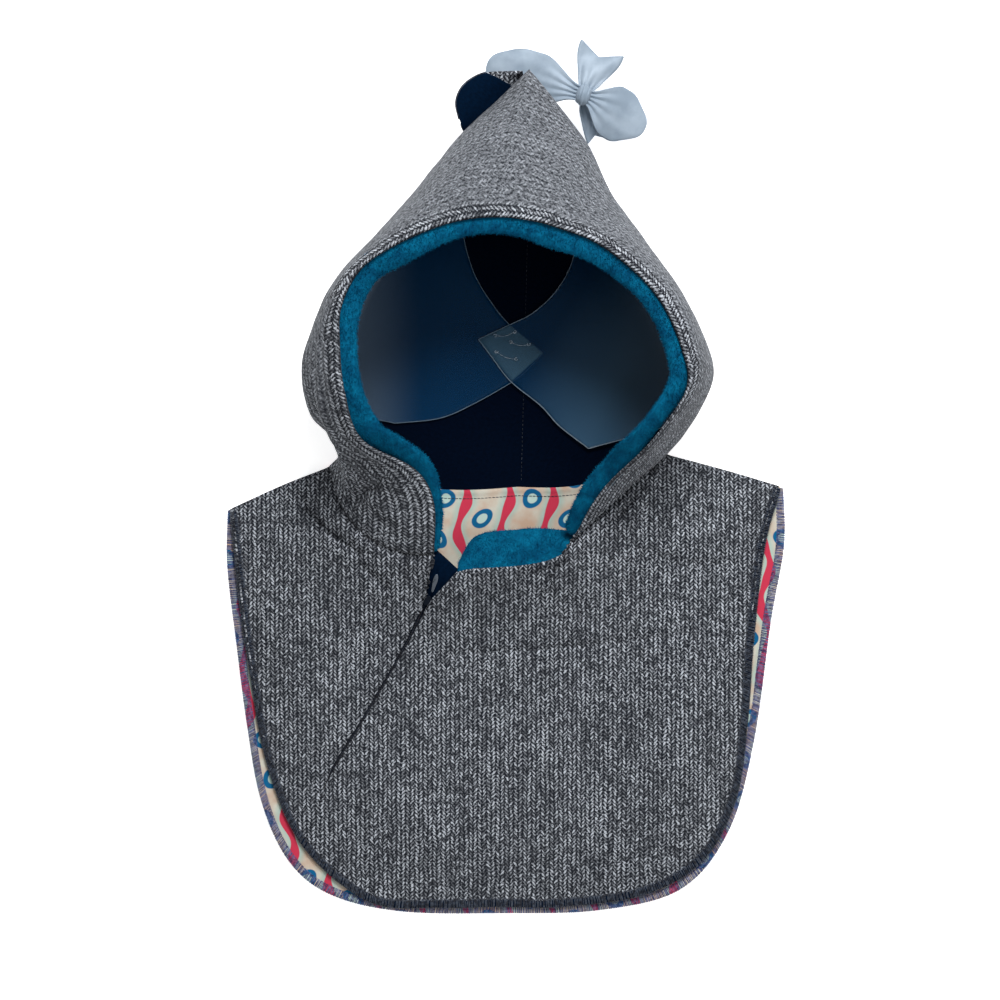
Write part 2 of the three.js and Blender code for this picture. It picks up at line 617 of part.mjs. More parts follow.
// A small plate over the front panel along a line in the plan, with one half-width for each row along it
function plate([x0, y0], [x1, y1], halfWidths, lift, thickness) {
  const along = new THREE.Vector2(x1 - x0, y1 - y0);
  const left = new THREE.Vector2(-along.y, along.x).normalize();
  const rows = halfWidths.map((half, i) => {
    const t = i / (halfWidths.length - 1);
    return [-1, 0, 1].map((side) => {
      const x = x0 + along.x * t + left.x * half * side, y = y0 + along.y * t + left.y * half * side;
      return new THREE.Vector3(x, y, frontRelief.at(x, y) + lift);
    });
  });
  const sheet = Sheet.fromRows(rows);
  const up = new THREE.Vector3(0, 0, 1);
  sheet.normals = () => sheet.points.map(() => up);
  return outwards(sheet.wall(thickness, 0));
}
add('zip_slider', plate([-45.6, -73.4], [-49.2, -79.6], [1.3, 2.2, 2.3, 1.6], CLOTH + 0.4, 1.8), 'metal');
add('zip_pull', plate([-43.9, -71.4], [-41.2, -61.6], [0.9, 1.2, 1.8, 1.9, 1.1], -0.1, 1), 'metal');

// A rounded tab on the left of the point, lined in navy. Its root lies along the hood. The cloth behind it goes on
// past the lining by the first row.
const TAB_ROOT = [[6.4, 243.9], [3.2, 240.6], [-4.6, 234.0], [-12.6, 225.4], [-20.4, 216.6], [-24.9, 211.4]];
const TAB_BRIM = [[5.4, 249.4], [-11.0, 247.6], [-20.4, 243.6], [-26.8, 237.6], [-29.8, 229.0], [-27.9, 219.0]];
const tabRows = [0, 0.35, 0.7, 1].map((t) => TAB_ROOT.map(([x, y], i) => {
  const [u, w] = TAB_BRIM[i];
  return new THREE.Vector3(x + (u - x) * t, y + (w - y) * t, 33 + 4 * Math.sin(2.5 * t));
}));
const tabSheet = Sheet.fromRows(tabRows);
add('tab_lining', outwards(tabSheet.wall(0.4, -0.4, 1)), 'navy');
add('tab_cloth', outwards(tabSheet.wall(-0.8, -2)), 'herringbone');

// The bow behind the point: two loops, two tails and a knot, in reflective cloth
const KNOT = [48.7, 235.1, 23];
const RIBBON = 1;
// turn: direction in the plan, in degrees. reach, from, to: length and widths in mm. root: where a tail starts.
// start: height of its root over the knot's middle. fall: how far it sinks outwards. lift: fullness of a loop.
// notch: depth of the cut in a tail's end.
const LOOPS = [
  { name: 'bow_loop_left', turn: 163, reach: 66, from: 12, to: 29, fall: -16, lift: 2.4 },
  { name: 'bow_loop_right', turn: -28, reach: 43, from: 12, to: 33, fall: -8, lift: 2.4 },
];
const TAILS = [
  { name: 'bow_tail_up', turn: 68, reach: 32, from: 11, to: 28, root: 6.85, start: 0, fall: -6, notch: 6 },
  { name: 'bow_tail_down', turn: -72, reach: 28, from: 9, to: 12, root: 4.3, start: -5.4, fall: -9, notch: 4 },
];
const KNOT_RADIUS = 6.5;
const LOOP_STEPS = 14, TAIL_STEPS = 6;
const LOOP_TURN = 0.95 * Math.PI;     // a loop goes this far round to each side of its end
function ribbonPoint(turn, along, across, z) {
  const angle = THREE.MathUtils.degToRad(turn);
  return new THREE.Vector3(
    KNOT[0] + along * Math.cos(angle) - across * Math.sin(angle),
    KNOT[1] + along * Math.sin(angle) + across * Math.cos(angle),
    KNOT[2] + z,
  );
}
for (const { name, turn, reach, from, to, fall, lift } of LOOPS) {
  const rows = [];
  for (let i = 0; i <= LOOP_STEPS; i++) {
    const angle = LOOP_TURN * ((2 * i) / LOOP_STEPS - 1);
    const out = Math.max(0, (Math.cos(angle) - Math.cos(LOOP_TURN)) / (1 - Math.cos(LOOP_TURN)));
    const along = KNOT_RADIUS + 0.35 + (reach - KNOT_RADIUS) * out ** 0.9;
    const width = from + (to - from) * smooth(out * 1.6);
    const z = fall * smooth(out * 1.3) + lift * Math.sin(angle) * (0.55 + 0.45 * out);
    const shares = [-0.5, -0.3, 0, 0.3, 0.5];
    rows.push(shares.map((t) => ribbonPoint(turn, along - 7 * (2 * t) ** 4 * out, width * t, z)));
  }
  add(name, outwards(Sheet.fromRows(rows).wall(RIBBON / 2, -RIBBON / 2)), 'reflective');
}
for (const { name, turn, reach, from, to, root, start, fall, notch } of TAILS) {
  const rows = [];
  for (let i = 0; i <= TAIL_STEPS; i++) {
    const out = i / TAIL_STEPS;
    const along = root + (reach - root) * out;
    const width = from + (to - from) * smooth(out * 1.1);
    const cut = out ** 3 * notch;
    rows.push([-0.5, -0.25, 0, 0.25, 0.5].map((t) => {
      const z = start + fall * out + 1.2 * Math.sin(6 * t + 4 * out);
      return ribbonPoint(turn, along - cut * (1 - 2 * Math.abs(t)), width * t, z);
    }));
  }
  add(name, outwards(Sheet.fromRows(rows).wall(RIBBON / 2, -RIBBON / 2)), 'reflective');
}
const knot = new THREE.SphereGeometry(KNOT_RADIUS, 16, 10).scale(1, 1, 0.9);
add('bow_knot', knot.translate(...KNOT), 'reflective');

// The clear former: two curved sheets that cross over the back seam. Each runs from the side of the hood at the
// given rays, down and along its floor to the outline of its inner end.
// below, above: the outline of the inner end from the brim side to its corner, and on from there.
const FORMERS = [
  {
    name: 'former_right', rays: [1.25, 6.1], depth: 4.3,
    below: [[52.3, 17.2], [34.2, 31.2], [22.6, 43.9], [3.9, 59.0], [-8.3, 74.8], [-16.1, 85.1]],
    above: [
      [-16.1, 85.1], [3.3, 94.2], [16.6, 100.8], [28.7, 111.1], [37.2, 122.6], [41.6, 132.0], [43.6, 139.0],
    ],
  },
  {
    name: 'former_left', rays: [16.4, 12.2], depth: 5.6,
    below: [[-68.2, 33.0], [-41.0, 36.0], [-20.4, 44.5], [5.1, 59.0], [14.8, 66.9], [23.9, 76.6]],
    above: [[23.9, 76.6], [3.3, 94.2], [-7.0, 106.3], [-17.3, 122.6], [-23.0, 138.0], [-25.6, 149.0]],
  },
];
const FORMER_WALL = [0.3, 0.4, 0.5, 0.58, 0.66, 0.75];     // v of the rows down the hood's side
const FORMER_FLOOR = [0.4, 1];                             // shares of the way on from there to the inner end
const FORMER_BELOW = 7, FORMER_ABOVE = 8;                  // steps along each part of the inner end
function hoodInside(ray, v, depth) {
  const p = hoodPoint(ray, v);
  const alongRay = hoodPoint(ray, v + 0.01).sub(hoodPoint(ray, v - 0.01));
  const across = hoodPoint(ray + 0.05, v).sub(hoodPoint(ray - 0.05, v));
  return p.addScaledVector(across.cross(alongRay).normalize(), depth);
}
for (const { name, rays: [first, last], depth, below, above } of FORMERS) {
  const innerEnd = [...spline(below).spaced(FORMER_BELOW), ...spline(above).spaced(FORMER_ABOVE).slice(1)];
  const rows = innerEnd.map((tip, i) => {
    const ray = first + ((last - first) * i) / (innerEnd.length - 1);
    const wallSide = FORMER_WALL.map((v) => hoodInside(ray, v, depth));
    const foot = wallSide[wallSide.length - 1];
    const floor = FORMER_FLOOR.map((t) => foot.clone().lerp(tip.clone().setZ(depth), t).setZ(depth));
    return [...wallSide, ...floor];
  });
  add(name, outwards(Sheet.fromRows(rows).wall(SHEET / 2, -SHEET / 2)), 'clear');
}

// The outline's middle goes over the origin
hood.updateMatrixWorld(true);
const bounds = new THREE.Box3().setFromObject(hood);
const middle = bounds.getCenter(new THREE.Vector3());
hood.position.set(-middle.x, -middle.y, -bounds.min.z);

export default hood;
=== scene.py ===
"""A pointed rain hood with a bib, lying on its back and seen from above.

The sizes repeat those of the solids, in millimetres, in the part's own frame: X is the wearer's left, Y runs
from the hem to the point, Z is up. to_frame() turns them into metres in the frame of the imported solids.
"""

import math
from functools import partial

import bmesh
import bpy
import numpy as np
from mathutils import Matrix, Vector, noise


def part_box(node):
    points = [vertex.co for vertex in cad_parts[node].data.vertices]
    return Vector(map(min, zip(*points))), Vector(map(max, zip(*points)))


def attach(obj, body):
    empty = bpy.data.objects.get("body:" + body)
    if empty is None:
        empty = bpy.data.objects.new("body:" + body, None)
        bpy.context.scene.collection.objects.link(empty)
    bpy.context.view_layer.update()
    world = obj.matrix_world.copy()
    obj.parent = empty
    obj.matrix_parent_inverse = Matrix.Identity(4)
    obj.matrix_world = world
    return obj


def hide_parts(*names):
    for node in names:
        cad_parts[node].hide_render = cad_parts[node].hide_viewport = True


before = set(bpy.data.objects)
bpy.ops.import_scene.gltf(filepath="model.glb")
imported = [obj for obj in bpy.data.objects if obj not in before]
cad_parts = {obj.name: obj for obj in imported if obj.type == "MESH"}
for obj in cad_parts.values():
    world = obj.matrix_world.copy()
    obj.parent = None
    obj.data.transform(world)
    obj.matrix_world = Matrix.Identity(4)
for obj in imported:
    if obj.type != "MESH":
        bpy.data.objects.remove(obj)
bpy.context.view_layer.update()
noise.seed_set(1)             # without it, noise_vector() starts from the clock

MM = 0.001
WEAVE = "weave"               # the UV map of each cloth piece, in millimetres along and across its weave
SHARES = np.linspace(0, 1, 160)
MERGE = 2e-5                  # points of a piece that lie closer, in metres, become one

CLOTH = 1.4                   # softshell cloth of the hood and the bib
LINING = 0.8
LINING_DEPTH = 2.6            # the lining's inner face, under the hood's outside
SHEET = 0.6                   # clear plastic sheet
BACK_CLOTH = 1.1              # the bib's back, which lies flat on the floor
PRINT_TOP = 2.15              # top of the printed lining that lies on it
PRINT_LAP = 1.8               # how far the printed lining laps on to the hood's lining
TONGUE = 2.4                  # plush tongue at the neck
RIBBON = 0.9                  # the bow's cloth
TAPE = 0.5                    # the zip's tapes
EDGE_WIDTH = 5                # oversewn edges
EDGE_THICK = 2.4
CREST_X = 8.4                 # the hood's centre back seam, at the neck
CREST_LEAN = 0.0256           # and how far it leans to +X for each millimetre of Y
BIB_LIFT = 3.4                # underside of the front panel at its edges
BIB_CROWN = 6                 # how much further the front panel stands up in its middle
NECK_FALL = 36                # distance over which the front panel comes down from the neck
HEEL_REACH = 28               # how far under the hood the side rounds down on to the floor
RIM_ROUND = 1.8               # radius of the hood's turned rim
KNOT = (48.7, 235.1, 23)      # middle of the bow's knot
KNOT_RADIUS = 6.5
SIDE_V, FLOOR_V = 0.5, 0.75   # v of the hood's widest outline, and where it comes down on to the floor

# The hood, one row for each ray of cloth from the rim of the face opening out and round to the centre back
# seam: rim, widest outline, roundness of the shoulder between them, bow aside in X and Y, sag towards the
# bib, and the width of plush in view
HOOD_RAYS = [
    ("right neck", (41.2, -40.0, 42), (100.8, 13.6, 7), 1.5, 0, 0, 8.5, 8),
    ("right jaw", (57.7, -10.7, 62), (113.2, 28.0, 20), 1.8, 0, 0, 2, 11),
    ("right low cheek", (85.8, 17.4, 84), (124.2, 48.9, 36), 2, 0, 0, 2, 12),
    ("right cheek", (107.1, 49.3, 98), (127.5, 65.8, 42), 2, 0, 0, 0, 10),
    ("right temple", (105.0, 73.9, 104), (121.2, 84.1, 44), 2.2, 0, 0, 0, 9),
    ("right brow", (88.9, 107.0, 106), (107.1, 112.0, 46), 2.2, 0, 0, 0, 9),
    ("right crown", (58.1, 134.6, 108), (87.6, 142.1, 44), 1.7, 0, 0, 0, 11),
    ("right peak", (27.9, 147.0, 108), (65.8, 171.8, 40), 1.5, 0, 0, 0, 12),
    ("right point", (9.0, 151.2, 108), (50.0, 205.9, 36), 1.35, 0, 0, 0, 10),
    ("tip", (-4.6, 152.3, 108), (15.0, 249.1, 34), 1.2, 0, 0, 0, 9),
    ("left point", (-20.5, 151.2, 108), (-16.3, 219.4, 36), 1.35, 0, 0, 0, 9),
    ("left peak", (-38.3, 147.0, 108), (-48.7, 182.6, 41), 1.5, 0, 0, 0, 10),
    ("left crown", (-61.9, 137.0, 108), (-79.7, 145.0, 46), 2, 0, 0, 0, 12),
    ("left brow", (-84.4, 122.3, 106), (-105.8, 113.1, 48), 2.6, 0, 0, 0, 12),
    ("left temple", (-96.4, 100.6, 104), (-119.4, 80.9, 46), 2.3, 0, 0, 0, 12),
    ("left cheek", (-97.7, 77.0, 102), (-123.0, 61.5, 44), 2, 0, 0, 0, 10),
    ("left low cheek", (-94.9, 48.7, 98), (-119.8, 39.6, 38), 2, 0, 0, 0, 11),
    ("left jaw", (-85.3, 21.6, 86), (-110.0, 23.9, 28), 2, 0, 0, 2, 13),
    ("left collar top", (-54.1, 3.8, 66), (-104.9, 14.5, 19), 1.8, -6, -8, 2, 9),
    ("left collar", (-43.0, -16.7, 52), (-105.9, 9.9, 12), 1.6, -8, -12, 4, 5),
    ("left neck", (-43.2, -49.2, 38), (-109.2, 6.3, 7), 1.5, -12, -14, 8, 3),
]
TIP_RAY = 9
LAST_RAY = len(HOOD_RAYS) - 1
NECK_RAYS = 0.0, float(LAST_RAY)          # the hood's two seams to the bib
BACK_SEAM = [
    (-8.7, 0), (8.8, 0), (32, 0), (56.9, 0), (85, 0), (116.3, 0), (150.6, 0), (185, 1), (218.9, 7),
    (249.1, 34),
]

NECKLINE = [
    (-29.2, -59.0, 37), (-20.0, -57.2, 38), (-8.9, -56.6, 38.5), (12.5, -55.0, 39.5), (26.6, -52.3, 40.5),
    (38.5, -46.5, 41.5),
]
FACING_EDGE = [
    (-27.5, -54.5, 30), (-23.8, -45.8, 27), (-18.3, -38.4, 25), (-9.0, -35.3, 24), (4.6, -34.1, 24),
    (20.0, -33.0, 25), (34.5, -35.5, 27),
]
ZIP_LINE = [(-48.3, -77.5), (-60.5, -103.1), (-85.4, -146.5), (-104.0, -177.0), (-112.1, -193.1)]
ZIP_OPEN_LEFT, ZIP_OPEN_RIGHT = (-44.2, -50.2), (-29.6, -59.4)

# Outer edges of the two bib panels, from the right shoulder corner round the hem to the left shoulder corner
FRONT_EDGE = [
    (172.5, -6.6), (162.3, -44.2), (155.5, -102.1), (151.7, -153.2), (144.3, -201.8), (123.7, -239.8),
    (87.6, -261.0), (34.6, -268.6), (-2.8, -268.5), (-40.2, -269.1), (-83.8, -265.6), (-125.6, -231.1),
    (-148.0, -180.0), (-159.2, -120.8), (-165.4, -77.2), (-171.2, -20.6),
]
FRONT_CORNER, ZIP_FOOT, LEFT_CORNER = 5, 11, 12   # rows where the front panel's patches have corners
BACK_EDGE = [
    (173.9, -6.2), (174.5, -43.0), (166.4, -89.8), (155.8, -164.7), (140.1, -220.9), (110.2, -257.6),
    (59.6, -270.8), (-2.8, -272.7), (-65.2, -271.5), (-108.9, -261.0), (-135.1, -239.6), (-152.0, -202.2),
    (-160.7, -155.3), (-167.6, -102.3), (-173.0, -55.5), (-172.6, -19.9),
]
BACK_CORNERS = 5, 10
SHOULDER_RIGHT = [(102.5, 13.0), (138.6, 3.4), (172.5, -6.6)]
SHOULDER_LEFT = [(-110.7, 5.1), (-139.3, -6.2), (-171.2, -20.6)]

# Folds of the front panel and of the hood: lift of a ridge, or of a dip below 0, width, and line in the plan
FOLDS = [
    (-8, 1.9, [(-127, -12), (-122.5, -22), (-112.5, -31.5), (-101, -39.5), (-88, -49)]),
    (5, 5.5, [(-117, -14), (-107, -24), (-95, -33.5), (-80, -43)]),
    (-3.4, 2.6, [(-80, -42.5), (-63.6, -47.8), (-46, -52.5)]),
    (-3.4, 2.4, [(-91, -54), (-80.3, -62.3), (-71, -71.5)]),
    (-3.6, 7, [(60, -44), (82, -28), (104, -8)]),
    (-7, 1.9, [(93, 6), (86, -2.5), (81.5, -10.5), (74, -20.5), (64, -28.5), (54, -37.5)]),
    (-2.6, 3.2, [(84, -29.5), (99, -28.6), (117, -26.6), (138, -19.8)]),
    (-2.4, 4, [(70, -44.4), (92, -49.3), (120, -56), (142, -51.8)]),
    (-2.4, 4, [(-97, -98), (-88, -95), (-78, -94), (-68, -91)]),
    (-2.2, 5, [(-118, -124), (-108, -117), (-99, -110)]),
    (3.5, 11, [(84, -50), (118, -42), (150, -32)]),
    (3, 13, [(18, -74), (12, -108), (6, -140)]),
    (-2.6, 3.4, [(2, -68), (14, -61), (40, -54)]),
    (-2.6, 2.2, [(-42, -111), (30, -107), (96, -101), (122, -96)]),
    (2.4, 10, [(-150, -60), (-138, -100), (-128, -140)]),
    (-2.2, 8, [(70, -150), (60, -190), (66, -230)]),
    (2.6, 12, [(-40, -140), (-52, -190), (-46, -240)]),
]
HOOD_FOLDS = [
    (3.4, 3.2, [(-115.5, 62), (-112.7, 48.7), (-104, 27.5), (-99.2, 17.8), (-96.5, 3.3), (-96, -10)]),
    (-3.4, 2.8, [(-117.5, 52), (-115.5, 41), (-109, 24.5), (-103, 10)]),
    (-3.8, 3.2, [(-97, -18), (-84, -10), (-70, -2)]),
    (-2.6, 2.6, [(-91, 14), (-82.7, 6.8), (-74, 2.5)]),
    (2.4, 4.5, [(-86, -14), (-70, -22), (-56, -36)]),
]

TAB_ROOT = [
    (11.5, 246.3), (6.4, 243.9), (3.2, 240.6), (-4.6, 234.0), (-12.6, 225.4), (-20.4, 216.6), (-24.9, 211.4),
]
TAB_BRIM = [
    (11.0, 248.6), (1.0, 248.4), (-11.0, 247.6), (-20.4, 243.6), (-26.8, 237.6), (-29.8, 229.0),
    (-27.9, 219.0),
]

# The bow: direction in degrees, reach, width at the knot and at its widest, start height of a tail, fall
# towards the end, and the lift of a loop's upper side or the depth of a tail's notch
LOOPS = {
    "bow_loop_left": dict(turn=160, reach=63, narrow=12, wide=34, fall=-16, lift=2.4),
    "bow_loop_right": dict(turn=-28, reach=43, narrow=12, wide=33, fall=-8, lift=2.4),
}
TAILS = {
    "bow_tail_up": dict(turn=68, reach=32, narrow=11, wide=28, start=0, fall=-6, notch=6),
    "bow_tail_down": dict(turn=-72, reach=28, narrow=9, wide=12, start=-4, fall=-9, notch=4),
}

# The clear former's two sheets: first and last ray, depth under the hood's outside, and the outline of the
# inner end, below its corner and above it
FORMERS = {
    "former_right": dict(
        rays=(1.25, 6.1), depth=5.6,
        below=[(52.3, 17.2), (34.2, 31.2), (22.6, 43.9), (3.9, 59.0), (-8.3, 74.8), (-16.1, 85.1)],
        above=[
            (-16.1, 85.1), (3.3, 94.2), (16.6, 100.8), (28.7, 111.1), (37.2, 122.6), (41.6, 132.0),
            (43.6, 139.0),
        ],
    ),
    "former_left": dict(
        rays=(16.4, 12.2), depth=4.3,
        below=[(-68.2, 33.0), (-41.0, 36.0), (-20.4, 44.5), (5.1, 59.0), (14.8, 66.9), (23.9, 76.6)],
        above=[(23.9, 76.6), (3.3, 94.2), (-7.0, 106.3), (-17.3, 122.6), (-23.0, 138.0), (-25.6, 149.0)],
    ),
}

# Where the two sheets lie on each other: its left, bottom, right and top corner
OVERLAP = [(-16.1, 85.1), (4.5, 59.0), (23.9, 76.6), (3.3, 94.2)]

# Camera: straight down from above the hood's middle
CAMERA_HEIGHT = 2000
CAMERA_OVER = (-2.8, -14.9)
VIEW_WIDTH = 620              # width of the picture at the height of the bib
VIEW_HEIGHT = 15


def bib_shift():
    """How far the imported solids' frame lies from the part's own frame, read off the bow's knot."""
    low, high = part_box("bow_knot")
    return np.array((low + high) / 2) / MM - np.array(KNOT)


SHIFT = bib_shift()


def to_frame(points):
    return (np.asarray(points, float) + SHIFT) * MM


class Spline:
    """A smooth curve through rows of numbers, read at row numbers that needn't be whole."""

    def __init__(self, rows):
        rows = np.array(rows, float)
        self.last = len(rows) - 1
        self.rows = np.vstack([2 * rows[0] - rows[1], rows, 2 * rows[-1] - rows[-2]])

    def at(self, row):
        row = np.clip(np.asarray(row, float), 0, self.last)
        start = np.minimum(row.astype(int), self.last - 1)
        t = (row - start)[..., None]
        a, b, c, d = (self.rows[start + i] for i in range(4))
        return b + ((c - a) * t + (2 * a - 5 * b + 4 * c - d) * t**2 + (3 * b - a - 3 * c + d) * t**3) / 2

    def along(self, share, first=0, last=None):
        """Points at shares from 0 to 1 of the length between two rows."""
        last = self.last if last is None else last
        return along(self.at(np.linspace(first, last, 400)), share)


def along(points, share):
    """Points at shares from 0 to 1 of a line's length."""
    points = np.asarray(points, float)
    steps = np.linalg.norm(np.diff(points, axis=0), axis=1)
    reached = np.concatenate([[0], np.cumsum(steps)])
    share = np.asarray(share, float) * reached[-1]
    return np.stack([np.interp(share, reached, points[:, i]) for i in range(points.shape[1])], axis=-1)


def smooth(t):
    t = np.clip(t, 0, 1)
    return t * t * (3 - 2 * t)


def unit(vectors):
    return vectors / np.maximum(np.linalg.norm(vectors, axis=-1, keepdims=True), 1e-9)


def ripple(points, size, seed=0):
    """Even noise from -1 to 1 at points in mm, with bumps of about that size."""
    return np.array([noise.noise(Vector(p) / size + Vector((seed * 17.3, seed * 5.1, 0))) for p in points])


def fold_lift(folds, x, y):
    """The rise and fall of folds at points in the plan. A fold fades out at its ends."""
    lift = np.zeros_like(x)
    fade = np.sin(np.linspace(0, math.pi, 50)) ** 0.5
    for height, width, line in folds:
        samples = Spline(line).along(np.linspace(0, 1, 50))
        away = (x[:, None] - samples[:, 0]) ** 2 + (y[:, None] - samples[:, 1]) ** 2
        lift += height * fade[away.argmin(1)] * np.exp(-away.min(1) / width**2)
    return lift


RIM = Spline([row[1] for row in HOOD_RAYS])
SIDE_RIGHT = Spline([row[2] for row in HOOD_RAYS[:TIP_RAY + 1]])
SIDE_LEFT = Spline([row[2] for row in HOOD_RAYS[TIP_RAY:]])
HOOD_TRAITS = Spline([row[3:] for row in HOOD_RAYS])
BACK = Spline(BACK_SEAM)


def crest(y):
    """X of the hood's centre back seam."""
    return CREST_X + (y - BACK_SEAM[0][0]) * CREST_LEAN


def hood_surface(ray, v):
    """Points of the hood's outside. ray counts along HOOD_RAYS, and v runs from 0 at the rim to 1 on the back
    seam."""
    ray, v = np.broadcast_arrays(np.asarray(ray, float), np.asarray(v, float))
    on_right = ray <= TIP_RAY
    rim = RIM.at(ray)
    side = np.where(on_right[..., None], SIDE_RIGHT.at(ray), SIDE_LEFT.at(ray - TIP_RAY))
    from_neck = np.where(on_right, ray / TIP_RAY, (LAST_RAY - ray) / (LAST_RAY - TIP_RAY))
    back_y, back_z = np.moveaxis(BACK.at(from_neck * BACK.last), -1, 0)
    back = np.stack([crest(back_y), back_y, np.maximum(back_z, 0)], -1)
    roundness, bow_x, bow_y, sag, _ = np.moveaxis(HOOD_TRAITS.at(ray), -1, 0)

    turn = np.clip(v / SIDE_V, 0, 1) * math.pi / 2
    out = np.sin(turn) ** (2 / roundness)
    high = np.maximum(np.cos(turn), 0) ** (2 / roundness)
    bow = 4 * out * (1 - out)
    shoulder = rim + (side - rim) * out[..., None]
    shoulder[..., 0] += bow_x * bow
    shoulder[..., 1] += bow_y * bow
    shoulder[..., 2] = side[..., 2] + (rim[..., 2] - side[..., 2]) * high

    reach = np.maximum(np.hypot(*np.moveaxis((back - side)[..., :2], -1, 0)), 1e-6)
    heel = np.minimum(np.minimum(HEEL_REACH, reach * 0.4), side[..., 2] * 1.2) / reach
    turn = (np.clip(v, SIDE_V, FLOOR_V) - SIDE_V) / (FLOOR_V - SIDE_V) * math.pi / 2
    on_floor = (v - FLOOR_V) / (1 - FLOOR_V)
    inward = np.where(v <= FLOOR_V, heel * (1 - np.cos(turn)), heel + (1 - heel) * on_floor)
    low = np.where(v <= FLOOR_V, 1 - np.sin(turn), 0)
    under = side + (back - side) * inward[..., None]
    under[..., 1] -= sag * np.sin(math.pi * inward)
    under[..., 2] = back[..., 2] + (side[..., 2] - back[..., 2]) * low
    return np.where((v <= SIDE_V)[..., None], shoulder, under)


def hood_normal(ray, v):
    """The way out of the hood's surface."""
    along_ray = hood_surface(ray, np.minimum(v + 0.01, 1)) - hood_surface(ray, np.maximum(v - 0.01, 0))
    across = hood_surface(np.minimum(ray + 0.05, LAST_RAY), v) - hood_surface(np.maximum(ray - 0.05, 0), v)
    return unit(np.cross(along_ray, across))


# The hood's grid: columns round the face opening, and rows from the rim to the back seam
HOOD_COLUMNS = 260
RIM_ROWS = 5                  # close rows at the turned rim
SHOULDER_ROWS, HEEL_ROWS, FLOOR_ROWS = 34, 12, 10


def hood_rays():
    half = HOOD_COLUMNS // 2
    right = np.linspace(0, TIP_RAY, half + 1)
    left = np.linspace(TIP_RAY, LAST_RAY, half + 1)
    return np.concatenate([right, left[1:]])


def hood_rows():
    """v of each row: close ones at the rim, then even in angle round the shoulder, the heel and the floor."""
    shoulder = np.linspace(0.06, SIDE_V, SHOULDER_ROWS)
    heel = np.linspace(SIDE_V, FLOOR_V, HEEL_ROWS + 1)[1:]
    floor = np.linspace(FLOOR_V, 1, FLOOR_ROWS + 1)[1:]
    return np.concatenate([np.linspace(0, 0.05, RIM_ROWS), shoulder, heel, floor])


# Meshes

def shown(mesh, smooth_faces):
    """A piece of the mesh's name that shows it."""
    shade = mesh.shade_smooth if smooth_faces else mesh.shade_flat
    shade()
    piece = bpy.data.objects.new(mesh.name, mesh)
    bpy.context.scene.collection.objects.link(piece)
    return piece


def finish_mesh(name, bm, flip=False, smooth_faces=True):
    if flip:
        bmesh.ops.reverse_faces(bm, faces=bm.faces)
    mesh = bpy.data.meshes.new(name)
    bm.to_mesh(mesh)
    bm.free()
    return shown(mesh, smooth_faces)


def add_grid(bm, columns, rows, place, lay=None):
    """Adds columns by rows faces. place(s, t) gives their points in mm, and lay(s, t) their place on the
    weave, which is else that in the plan."""
    weave = bm.loops.layers.uv.get(WEAVE) or bm.loops.layers.uv.new(WEAVE)
    verts = bmesh.ops.create_grid(bm, x_segments=columns, y_segments=rows, size=0.5)["verts"]
    s, t = (np.array([v.co[i] for v in verts]) + 0.5 for i in (0, 1))
    points = place(s, t)
    laid = points[:, :2] if lay is None else lay(s, t)
    for vert, point, uv in zip(verts, to_frame(points), laid):
        vert.co = point
        for loop in vert.link_loops:
            loop[weave].uv = uv


def laid(across, down):
    """Lays a whole grid flat on the weave, so many mm across and down."""
    return lambda s, t: np.stack([s * across, t * down], -1)


def cloth_grid(name, columns, rows, place, lay=None, flip=False):
    """A piece of one grid."""
    bm = bmesh.new()
    add_grid(bm, columns, rows, place, lay)
    bmesh.ops.remove_doubles(bm, verts=bm.verts, dist=MERGE)
    return finish_mesh(name, bm, flip)


def mesh_of(name, points, faces, smooth_faces=True):
    """A mesh of many small alike things, joined from arrays. The points are in metres."""
    mesh = bpy.data.meshes.new(name)
    mesh.from_pydata(points.reshape(-1, 3).tolist(), [], faces.tolist())
    mesh.validate()
    return shown(mesh, smooth_faces)


NEARLY_UP = 0.02, 0.03, 1.0       # no thread runs exactly this way


def threads(name, paths, radius, sides=4):
    """One mesh of round threads. paths holds one row of points in mm for each thread."""
    paths = np.asarray(paths, float)
    count, steps, _ = paths.shape
    ahead = unit(np.gradient(paths, axis=1))
    side = unit(np.cross(ahead, NEARLY_UP))
    up = np.cross(side, ahead)
    turn = np.arange(sides) * 2 * math.pi / sides
    ring = side[:, :, None] * np.cos(turn)[:, None] + up[:, :, None] * np.sin(turn)[:, None]
    points = paths[:, :, None] + ring * radius
    start = (np.arange(count) * steps * sides)[:, None, None, None]
    step = (np.arange(steps - 1) * sides)[None, :, None, None]
    a = np.arange(sides)[None, None, :, None]
    b = (a + 1) % sides
    quads = start + step + np.concatenate([a, b, b + sides, a + sides], axis=-1)
    caps = []
    if sides == 4:
        first = np.arange(count)[:, None] * steps * sides
        caps = [first + [3, 2, 1, 0], first + (steps - 1) * sides + [0, 1, 2, 3]]
    faces = np.concatenate([quads.reshape(-1, 4), *caps])
    return mesh_of(name, to_frame(points), faces)


